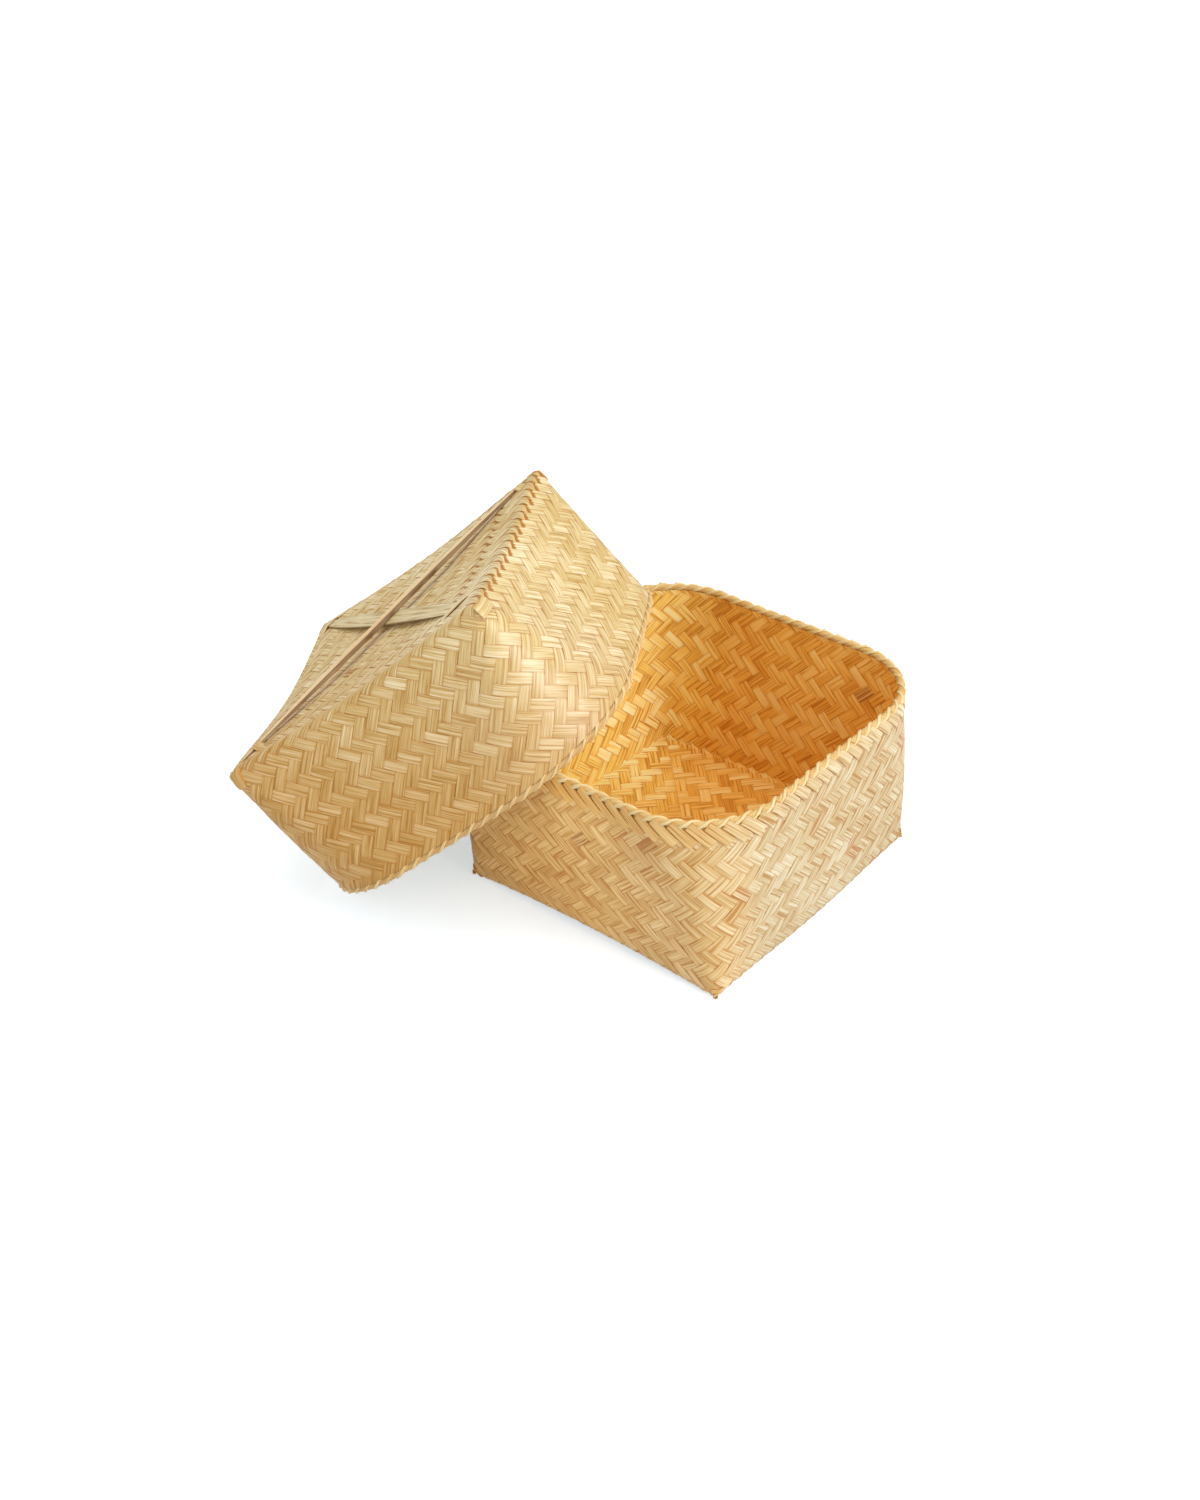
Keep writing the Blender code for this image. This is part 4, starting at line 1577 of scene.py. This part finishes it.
@dataclass
class Splints:
    """The two splints across the lid's closed face and the strips that hold their ends.

    Heights are measured out of the level of the closed face's corners.

    The long splint is a split stick: its skin lies towards one side and its cut side towards the
    other. The cut side's dark brown is partly its own colour and partly painted shade beside the
    splint. CUT_SHARES is the share of its width that the cut side takes at CUT_PLACES. KEEPERS
    holds each keeper's letter, its splint and its distance from the corner, below zero at the
    first end.

    Attributes:
        basket: The lid.
        finish: Finish of the long splint's skin.
        cut_finish: Finish of its cut side, whose dark brown is partly painted shade.
        strip_finish: Finish of the cross splint.
        keeper_finish: Finish of the strips that hold the splints.
        long_width: Width of the long splint.
        long_thickness: Its thickness.
        long_inset: How far from the corners it ends.
        long_end: Height of the long splint's underside at its ends.
        long_middle: Height of its underside where it rests on the cross splint.
        cross_width: Width of the cross splint.
        cross_thickness: Its thickness.
        cross_inset: How far from the corner it starts.
        cross_end_inset: How far from the other corner it ends.
        cross_middle: Height of the cross splint's underside at its middle.
        cross_sag: How far its ends stand over its middle, wherever it is clear of the face.
        keeper_width: Width of a keeper.
        keeper_thickness: Its thickness.
        keeper_reach: How far it reaches past the splint's edges.
        keeper_slope: Length over which it comes down beside the splint.
        keeper_lift: Distance of its underside from the face.
        keeper_tuck: How far its ends dip from there.
        keeper_gap: Its distance from the splint where it passes over.
        clearance: Distance of the cross splint from the face.
        steps: Steps along a splint.
        keeper_steps: Steps along a keeper.
    """

    CUT_PLACES: ClassVar[tuple[float, ...]] = (-1.0, -0.5, -0.15, 0.12, 0.4, 0.7, 1.0)
    CUT_SHARES: ClassVar[tuple[float, ...]] = (0.10, 0.16, 0.12, 0.46, 0.46, 0.30, 0.10)
    CUT_DEPTH: ClassVar[float] = 0.72
    CUT_LAP: ClassVar[float] = 0.04
    TAPER_POWER: ClassVar[float] = 2.4
    LONG_LOSS: ClassVar[float] = 0.82
    CROSS_LOSSES: ClassVar[tuple[float, float]] = (0.55, 0.25)
    CROSS_THINNING: ClassVar[float] = 0.75
    THINNING_START: ClassVar[float] = 0.4
    THINNING_SHARE: ClassVar[float] = 0.35
    LONG_FILL: ClassVar[float] = 1.3
    MAP_UNIT: ClassVar[float] = 6 * MILLIMETRE
    SEAT_SHARE: ClassVar[float] = 0.40
    TUCK_START: ClassVar[float] = 0.8
    TUCK_SHARE: ClassVar[float] = 0.2
    KEEPERS: ClassVar[tuple[tuple[str, Diagonal, float], ...]] = (
        ("a", Diagonal.LONG, -19.0 * MILLIMETRE),
        ("b", Diagonal.LONG, 15.0 * MILLIMETRE),
        ("a", Diagonal.CROSS, -17.0 * MILLIMETRE),
        ("b", Diagonal.CROSS, 25.3 * MILLIMETRE),
    )

    basket: Basket
    finish: StripFinish
    cut_finish: StripFinish
    strip_finish: StripFinish
    keeper_finish: StripFinish
    long_width: float = 6.0 * MILLIMETRE
    long_thickness: float = 3.0 * MILLIMETRE
    long_inset: float = 8.0 * MILLIMETRE
    long_end: float = -0.7 * MILLIMETRE
    long_middle: float = -1.4 * MILLIMETRE
    cross_width: float = 11.0 * MILLIMETRE
    cross_thickness: float = 0.8 * MILLIMETRE
    cross_inset: float = 11.0 * MILLIMETRE
    cross_end_inset: float = 24.0 * MILLIMETRE
    cross_middle: float = -2.35 * MILLIMETRE
    cross_sag: float = 1.45 * MILLIMETRE
    keeper_width: float = 5.4 * MILLIMETRE
    keeper_thickness: float = 0.3 * MILLIMETRE
    keeper_reach: float = 4.2 * MILLIMETRE
    keeper_slope: float = 2.4 * MILLIMETRE
    keeper_lift: float = 0.12 * MILLIMETRE
    keeper_tuck: float = 0.7 * MILLIMETRE
    keeper_gap: float = 0.05 * MILLIMETRE
    clearance: float = 0.15 * MILLIMETRE
    steps: int = 40
    keeper_steps: int = 16

    def build(self) -> list[bpy.types.Object]:
        """Make the splints and keepers.

        Returns:
            The pieces.
        """
        rod = ("lid_long_splint_rod", Diagonal.LONG, self.finish, self.long_thickness)
        side = (
            "lid_long_splint_side", Diagonal.LONG, self.cut_finish,
            self.CUT_DEPTH * self.long_thickness,
        )
        strip = (
            "lid_cross_splint_strip", Diagonal.CROSS, self.strip_finish, self.cross_thickness
        )
        pieces = [
            self._bar(*rod, lambda share: (self._cut(share), 0.5)),
            self._bar(*side, lambda share: (-0.5, self._cut(share) + self.CUT_LAP)),
            self._bar(*strip, lambda share: (-0.5, 0.5)),
        ]
        return pieces + [self._keeper(*keeper) for keeper in self.KEEPERS]

    def _sizes(self, diagonal: Diagonal) -> tuple[float, float, float, float]:
        """Sizes of a splint.

        Args:
            diagonal: The splint's diagonal.

        Returns:
            Its length from the face's middle to its first and to its second end, its width and its
            thickness.
        """
        corner = self.basket.side * ROOT_HALF
        if diagonal is Diagonal.LONG:
            half = corner - self.long_inset
            return half, half, self.long_width, self.long_thickness
        half, end = corner - self.cross_inset, corner - self.cross_end_inset
        return half, end, self.cross_width, self.cross_thickness

    @staticmethod
    def _spot(diagonal: Diagonal, along: Points, side: Points) -> tuple[Points, Points]:
        """Place on the closed face.

        Args:
            diagonal: The diagonal that the place is measured from.
            along: Distance along it from the face's middle.
            side: Distance beside it.

        Returns:
            X and Y in the lid's own frame.
        """
        if diagonal is Diagonal.LONG:
            return (along - side) * ROOT_HALF, -(along + side) * ROOT_HALF
        return (along + side) * ROOT_HALF, (along - side) * ROOT_HALF

    @classmethod
    def _cut(cls, share: Points) -> Points:
        """Where across the long splint its skin begins, from -0.5 to 0.5."""
        return np.interp(share, cls.CUT_PLACES, cls.CUT_SHARES) - 0.5

    @classmethod
    def _taper(cls, diagonal: Diagonal, share: Points) -> Points:
        """Share of its width that a splint keeps towards its ends."""
        loss = cls.LONG_LOSS if diagonal is Diagonal.LONG else np.where(share < 0, *cls.CROSS_LOSSES)
        return 1 - loss * abs(share) ** cls.TAPER_POWER

    @classmethod
    def _thinning(cls, diagonal: Diagonal, share: Points) -> Points:
        """Share of its thickness that a splint keeps towards its ends.

        Args:
            diagonal: The splint's diagonal.
            share: Share of the way from the face's middle to an end, below zero to the first.

        Returns:
            The share that is kept there.
        """
        if diagonal is Diagonal.LONG:
            return cls._taper(diagonal, share)
        thinned = smooth((share - cls.THINNING_START) / cls.THINNING_SHARE)
        return 1 - cls.CROSS_THINNING * thinned

    def _foot(self, diagonal: Diagonal, share: Points, along: Points) -> Points:
        """Height of a splint's underside.

        Args:
            diagonal: The splint's diagonal.
            share: Share of the way from the face's middle to an end, below zero to the first.
            along: The same as a distance.

        Returns:
            The height there.
        """
        if diagonal is Diagonal.LONG:
            return self.long_end + (self.long_middle - self.long_end) * (1 - share ** 2)
        taut = self.cross_middle + self.cross_sag * share ** 2
        face = -self.basket.face_rise_at(*self._spot(diagonal, along, 0 * along))
        return np.maximum(self.clearance + face, taut)

    def _bar(
        self,
        name: str,
        diagonal: Diagonal,
        finish: StripFinish,
        thickness: float,
        edges: Callable[[Points], tuple[Points | float, Points | float]],
    ) -> bpy.types.Object:
        """Lay one splint, or a lengthwise part of it, along a diagonal of the closed face.

        Args:
            name: Name of the piece.
            diagonal: The splint's diagonal.
            finish: The piece's finish.
            thickness: Its thickness.
            edges: Gives from the share of the way the piece's two edges, in the splint's widths.

        Returns:
            The piece.
        """
        half, end, width, _ = self._sizes(diagonal)
        fill = self.LONG_FILL if diagonal is Diagonal.LONG else StripMesh.LANE_FILL

        def place(station: Points, across: Points, through: Points) -> Points:
            """Place of the splint's points.

            Args:
                station: Their stations along the splint.
                across: Their shares across the piece.
                through: Their shares through its thickness.

            Returns:
                Places in the row frame.
            """
            share = (half + end) / half * station / self.steps - 1
            low, high = edges(share)
            side = (low + (across + 0.5) * (high - low)) * width * self._taper(diagonal, share)
            x, y = self._spot(diagonal, share * half, side)
            height = self._foot(diagonal, share, share * half)
            height = height + thickness * self._thinning(diagonal, share) * (0.5 + through)
            return self.basket.world(np.stack((x, y, -height), axis=1))

        def chart(station: Points, across: Points) -> tuple[Points, Points]:
            """Place on the splint in strip widths."""
            along = station / self.steps * (half + end) / self.MAP_UNIT
            return StripMesh.lane(across, fill=fill), along

        parts = [StripMesh.lay(self.steps, place, chart)]
        return Bench.finish(name, parts, finish, self.basket.body, f"lid_{diagonal.value}_splint")

    def _keeper(self, letter: str, diagonal: Diagonal, inset: float) -> bpy.types.Object:
        """Pass a strip of the weave over a splint near its end.

        Args:
            letter: The keeper's letter.
            diagonal: Diagonal of the splint that it holds.
            inset: Its distance from the corner, below zero at the first end.

        Returns:
            The piece.
        """
        steps = self.keeper_steps
        half, _, width, thickness = self._sizes(diagonal)
        seat = math.copysign(self.basket.side * ROOT_HALF, inset) - inset
        at = np.array(seat / half)
        width = width * float(self._taper(diagonal, abs(at)))
        reach = width / 2 + self.keeper_reach
        foot = float(self._foot(diagonal, at, np.array(seat)))
        top = foot + thickness * self._thinning(diagonal, at) + self.keeper_gap

        def place(station: Points, across: Points, through: Points) -> Points:
            """Place of the keeper's points.

            Args:
                station: Their stations along the keeper.
                across: Their shares across it.
                through: Their shares through its thickness.

            Returns:
                Places in the row frame.
            """
            share = 2 * station / steps - 1
            side = share * reach
            over = 1 - smooth((abs(side) - width * self.SEAT_SHARE) / self.keeper_slope)
            tucked = smooth((abs(share) - self.TUCK_START) / self.TUCK_SHARE)
            x, y = self._spot(diagonal, seat - across * self.keeper_width, side)
            face = self.keeper_lift - self.basket.face_rise_at(x, y) - self.keeper_tuck * tucked
            height = np.maximum(face * (1 - over) + top * over, face)
            height = height + self.keeper_thickness * (0.5 + through)
            return self.basket.world(np.stack((x, y, -height), axis=1))

        def chart(station: Points, across: Points) -> tuple[Points, Points]:
            """Place on the keeper in strip widths."""
            return StripMesh.lane(across), station / steps * 2.4 + seat * 100

        name, node = f"lid_{diagonal.value}_tie_{letter}", f"lid_{diagonal.value}_keeper_{letter}"
        parts = [StripMesh.lay(steps, place, chart)]
        return Bench.finish(name, parts, self.keeper_finish, self.basket.body, node)


@dataclass(frozen=True)
class Softbox:
    """Square lamp turned to the object.

    Attributes:
        name: The lamp's name.
        place: Its place.
        size: Length of its side.
        power: Its power in watts.
        colour: Colour of its light.
    """

    AIM: ClassVar[Place] = (-0.05, -0.02, 0.06)

    name: str
    place: Place
    size: float
    power: float
    colour: Colour

    def build(self) -> None:
        """Hang the lamp."""
        data = bpy.data.lights.new(self.name, "AREA")
        data.shape = "SQUARE"
        data.size = self.size
        data.energy = self.power
        data.color = self.colour
        lamp = bpy.data.objects.new(self.name, data)
        bpy.context.scene.collection.objects.link(lamp)
        lamp.location = self.place
        way = Vector(self.AIM) - Vector(self.place)
        lamp.rotation_euler = way.to_track_quat("-Z", "Y").to_euler()


@dataclass
class Studio:
    """White floor, soft light and the camera of the photograph.

    Attributes:
        eye: Place of the camera.
        heading: Way that it looks, in degrees from +X.
        pitch: How far it looks down, in degrees.
        roll: Turn about its own axis, in degrees.
        focal_pixels: Focal length on an image of 1200 by 1500 pixels.
        image_height: Height of that image.
        sensor: Width of the camera's sensor, in millimetres.
        floor_side: Length of the floor's side.
        ambient: Strength of the even light from all round.
    """

    LAMPS: ClassVar[tuple[Softbox, ...]] = (
        Softbox("key_light", (0.94, 0.02, 0.82), 0.7, 5.5, (0.97, 0.98, 1.0)),
        Softbox("sheen_light", (0.95, 0.08, 0.50), 0.70, 3.2, (0.97, 0.98, 1.0)),
        Softbox("front_fill", (-0.35, -1.6, 1.0), 1.4, 4.6, (1.0, 0.99, 0.97)),
        Softbox("top_fill", (-0.3, 0.2, 1.9), 1.6, 12.0, (1.0, 1.0, 1.0)),
    )

    eye: Place = (0.4797, -0.5830, 0.5771)
    heading: float = 132.72
    pitch: float = 33.913
    roll: float = -3.559
    focal_pixels: float = 1791.4
    image_height: float = 1500.0
    sensor: float = 36.0
    floor_side: float = 40.0
    ambient: float = 0.55

    def build(self) -> None:
        """Make the camera, floor, world and lamps."""
        self._camera()
        self._floor()
        self._world()
        for lamp in self.LAMPS:
            lamp.build()
        bpy.context.scene.view_settings.view_transform = "Standard"
        log.info("studio: camera, floor, world and %d lamps", len(self.LAMPS))

    def _camera(self) -> None:
        """Place the camera as it stood for the photograph."""
        data = bpy.data.cameras.new("camera")
        data.sensor_width = self.sensor
        data.lens = self.focal_pixels / self.image_height * self.sensor
        data.clip_start, data.clip_end = 0.01, 100.0
        camera = bpy.data.objects.new("camera", data)
        bpy.context.scene.collection.objects.link(camera)
        heading, pitch, roll = map(math.radians, (self.heading, self.pitch, self.roll))
        flat = math.cos(pitch)
        ahead = Vector((math.cos(heading) * flat, math.sin(heading) * flat, -math.sin(pitch)))
        level = ahead.cross(Vector((0, 0, 1))).normalized()
        upright = level.cross(ahead)
        right = level * math.cos(roll) + upright * math.sin(roll)
        up = upright * math.cos(roll) - level * math.sin(roll)
        turn = Matrix((right, up, -ahead)).transposed().to_4x4()
        camera.matrix_world = Matrix.Translation(self.eye) @ turn
        bpy.context.scene.camera = camera

    def _floor(self) -> None:
        """Lay a wide white floor."""
        Bench.clear()
        bpy.ops.mesh.primitive_plane_add(size=self.floor_side, location=(0, 0, 0))
        floor = bpy.context.active_object
        floor.name = "studio_floor"
        floor.data.materials.append(FloorFinish().material())
        Bench.clear()

    def _world(self) -> None:
        """Light the scene evenly, with plain white behind it."""
        world = bpy.data.worlds.new("studio")
        bpy.context.scene.world = world
        sheet = NodeSheet(world)
        background = sheet.part("Background")
        strength = self.ambient + sheet.seen_directly() * (1.0 - self.ambient)
        sheet.feed(background.inputs["Color"], (1.0, 1.0, 1.0))
        sheet.feed(background.inputs["Strength"], strength)


# The base's tint paints warmer light on the -Y wall, growing towards -X.
BASE_STRIPS = StripFinish(
    "base_strips", deep=(0.42, 0.20, 0.05), middle=(0.56, 0.42, 0.205), pale=(0.77, 0.705, 0.53),
    stain_and_slit_shade=(0.46, 0.19, 0.045), light_and_shade_tint=(1.44, 1.10, 0.62), light_and_shade_way=(-5.5, -12.0, -1.5),
    light_and_shade_start=-0.08, slot="bamboo_outside",
)
# The lid's tint paints shade, darker and warmer lower down on the lid and towards -Y and +X.
LID_STRIPS = StripFinish(
    "lid_strips", deep=(0.51, 0.31, 0.096), middle=(0.68, 0.50, 0.211), pale=(0.93, 0.85, 0.60),
    stain_and_slit_shade=(0.42, 0.18, 0.035), edge_light_and_shade=(0.52, 0.22, 0.035), light_and_shade_tint=(0.84, 0.66, 0.49),
    light_and_shade_way=(4.0, -5.0, -9.0), light_and_shade_start=1.30, roughness=0.40, sheen=0.04, coat=0.0, gloss=1.3,
    gloss_place=(-0.012, -0.075, 0.138), gloss_reach=0.085, tone_spread=0.062,
    slot="bamboo_lid_outside",
)
# The lining's deep orange is partly its own colour and partly painted glow of light bounced inside
# the box; its tint paints lighter, paler light towards -X, on the inside of the wall that the key
# light reaches.
LINING_STRIPS = StripFinish(
    "lining_strips", deep=(0.61, 0.22, 0.022), middle=(0.93, 0.49, 0.08), pale=(0.98, 0.73, 0.29),
    edge_light_and_shade=(0.60, 0.19, 0.015), light_and_shade_tint=(1.24, 2.0, 3.4), light_and_shade_way=(-12.0, -3.0, 2.0), light_and_shade_start=-0.28,
    tone_spread=0.17, roughness=0.5, coat=0.05, slot="bamboo_inside",
)
# The rim's tint paints warmer light on the -Y side, growing towards -X, as on the base.
RIM_STRIPS = StripFinish(
    "rim_strips", deep=(0.44, 0.21, 0.05), middle=(0.63, 0.46, 0.22), pale=(0.83, 0.72, 0.51),
    light_and_shade_tint=(1.30, 0.95, 0.40), light_and_shade_way=(-5.5, -12.0, -1.5), light_and_shade_start=-0.05, slot="bamboo_strips",
)
ROPE_STRANDS = StripFinish(
    "rope_strands", deep=(0.62, 0.37, 0.10), middle=(0.77, 0.585, 0.27), pale=(0.86, 0.73, 0.43),
    edge_light_and_shade=(0.62, 0.33, 0.08), line_depth=0.18, fibre_lines=11.0, slot="bamboo_rope",
)
LID_ROPE_STRANDS = StripFinish(
    "lid_rope_strands", deep=(0.55, 0.30, 0.08), middle=(0.76, 0.54, 0.24),
    pale=(0.89, 0.74, 0.45), edge_light_and_shade=(0.52, 0.26, 0.06), line_depth=0.18, fibre_lines=11.0,
    slot="bamboo_rope",
)
# The splint's edge colour paints light along its skin's lit edge.
SPLINT_WOOD = StripFinish(
    "splint_wood", deep=(0.70, 0.45, 0.21), middle=(0.88, 0.68, 0.40), pale=(0.95, 0.82, 0.58),
    edge_light_and_shade=(0.82, 0.42, 0.10), roughness=0.5, sheen=0.04, coat=0.0, fibre_lines=9.0,
    slot="bamboo_splint",
)
# The cut side's dark brown is partly its own colour and partly painted shade beside the splint.
SPLINT_SIDE = StripFinish(
    "splint_side", deep=(0.19, 0.105, 0.05), middle=(0.37, 0.24, 0.135), pale=(0.62, 0.44, 0.26),
    edge_light_and_shade=(0.15, 0.075, 0.03), roughness=0.7, sheen=0.0, coat=0.0, fibre_lines=3.0,
    slot="bamboo_splint",
)
# The cross splint's edge colour paints the shade along its edges.
CROSS_STRIP = StripFinish(
    "cross_strip", deep=(0.46, 0.29, 0.10), middle=(0.66, 0.52, 0.27), pale=(0.82, 0.71, 0.44),
    edge_light_and_shade=(0.24, 0.14, 0.05), sheen=0.04, coat=0.0, slot="bamboo_strips",
)
LID_FLAPS = (
    Flap(*mm(12.0, 1.2, 7.6, -0.6), upright=False, lift=0.9 * MILLIMETRE),
    Flap(*mm(6.4, 0.8, 9.0, 1.2), upright=True),
    Flap(*mm(11.0, 1.5, 7.2, 0.0), upright=False, lift=0.5 * MILLIMETRE),
    Flap(*mm(6.0, 1.0, 8.0, 1.0), upright=True),
)
BASE_FLAPS = (
    Flap(*mm(3.0, 4.5, 5.0, 2.5), upright=True),
    Flap(*mm(4.0, 3.0, 4.5, 2.5), upright=False),
    Flap(*mm(3.5, 4.0, 5.0, 2.5), upright=True),
    Flap(*mm(2.0, 4.5, 4.6, 2.5), upright=True),
)
LID_PINCHES = ((1.4 * MILLIMETRE, 0.70), (-21.0 * MILLIMETRE, 0.5))


def main() -> None:
    """Build the box, its lid and the studio, and report each piece."""
    logging.basicConfig(level=logging.INFO, format="%(name)s: %(message)s")
    base = Basket(
        "base", arches=mm(0.1, 1.6, 1.6, 3.5), dish=1.2 * MILLIMETRE,
        foot_shifts=mm(1.9, 0, 0, 0, 0, 0, 0, 0), rim_lifts=mm(0, -0.7, 0.6, 2.4, 0.4, 0, 0, 0),
    )
    lid = Basket(
        "lid", arches=mm(3.5, 3.5, 4.6, 3.4), dish=4.5 * MILLIMETRE,
        fold_radius=4.8 * MILLIMETRE, arch_power=1.6, rounding=0.87,
        foot_shifts=mm(0, 0.4, 0, 1.5, 0, -1.1, 0.6, 0.7),
        waist_shifts=mm(-0.5, 0, 0, 0, 0, 0, 0, -0.9), rim_lifts=mm(0, 0.8, 1.3, 0.8, 0, 0, 0, 0),
    )
    WovenLayer(base, Layer.OUTER, BASE_STRIPS).build(SEED)
    WovenLayer(
        base, Layer.LINING, LINING_STRIPS, lean=0.55, floor_sheen_tones=(1.0, -0.7), stains=0.004
    ).build(SEED + 10)
    WovenLayer(
        lid, Layer.OUTER, LID_STRIPS, lean=-0.7, stains=0.004, pinches=LID_PINCHES
    ).build(SEED + 20)
    WovenLayer(lid, Layer.LINING, LINING_STRIPS).build(SEED + 30)
    Rim(base, RIM_STRIPS, ROPE_STRANDS, leaves_outside=True, rope_size=1.12).build(SEED + 40)
    Rim(lid, RIM_STRIPS, LID_ROPE_STRANDS, leaves_outside=False, rope_size=1.05).build(SEED + 50)
    CornerWrap(base, RIM_STRIPS, BASE_FLAPS, loop_radius=1.1 * MILLIMETRE).build(SEED + 60)
    CornerWrap(lid, LID_STRIPS, LID_FLAPS).build(SEED + 70)
    Splints(lid, SPLINT_WOOD, SPLINT_SIDE, CROSS_STRIP, LID_STRIPS).build()
    Studio().build()


if __name__ == "__main__":
    main()
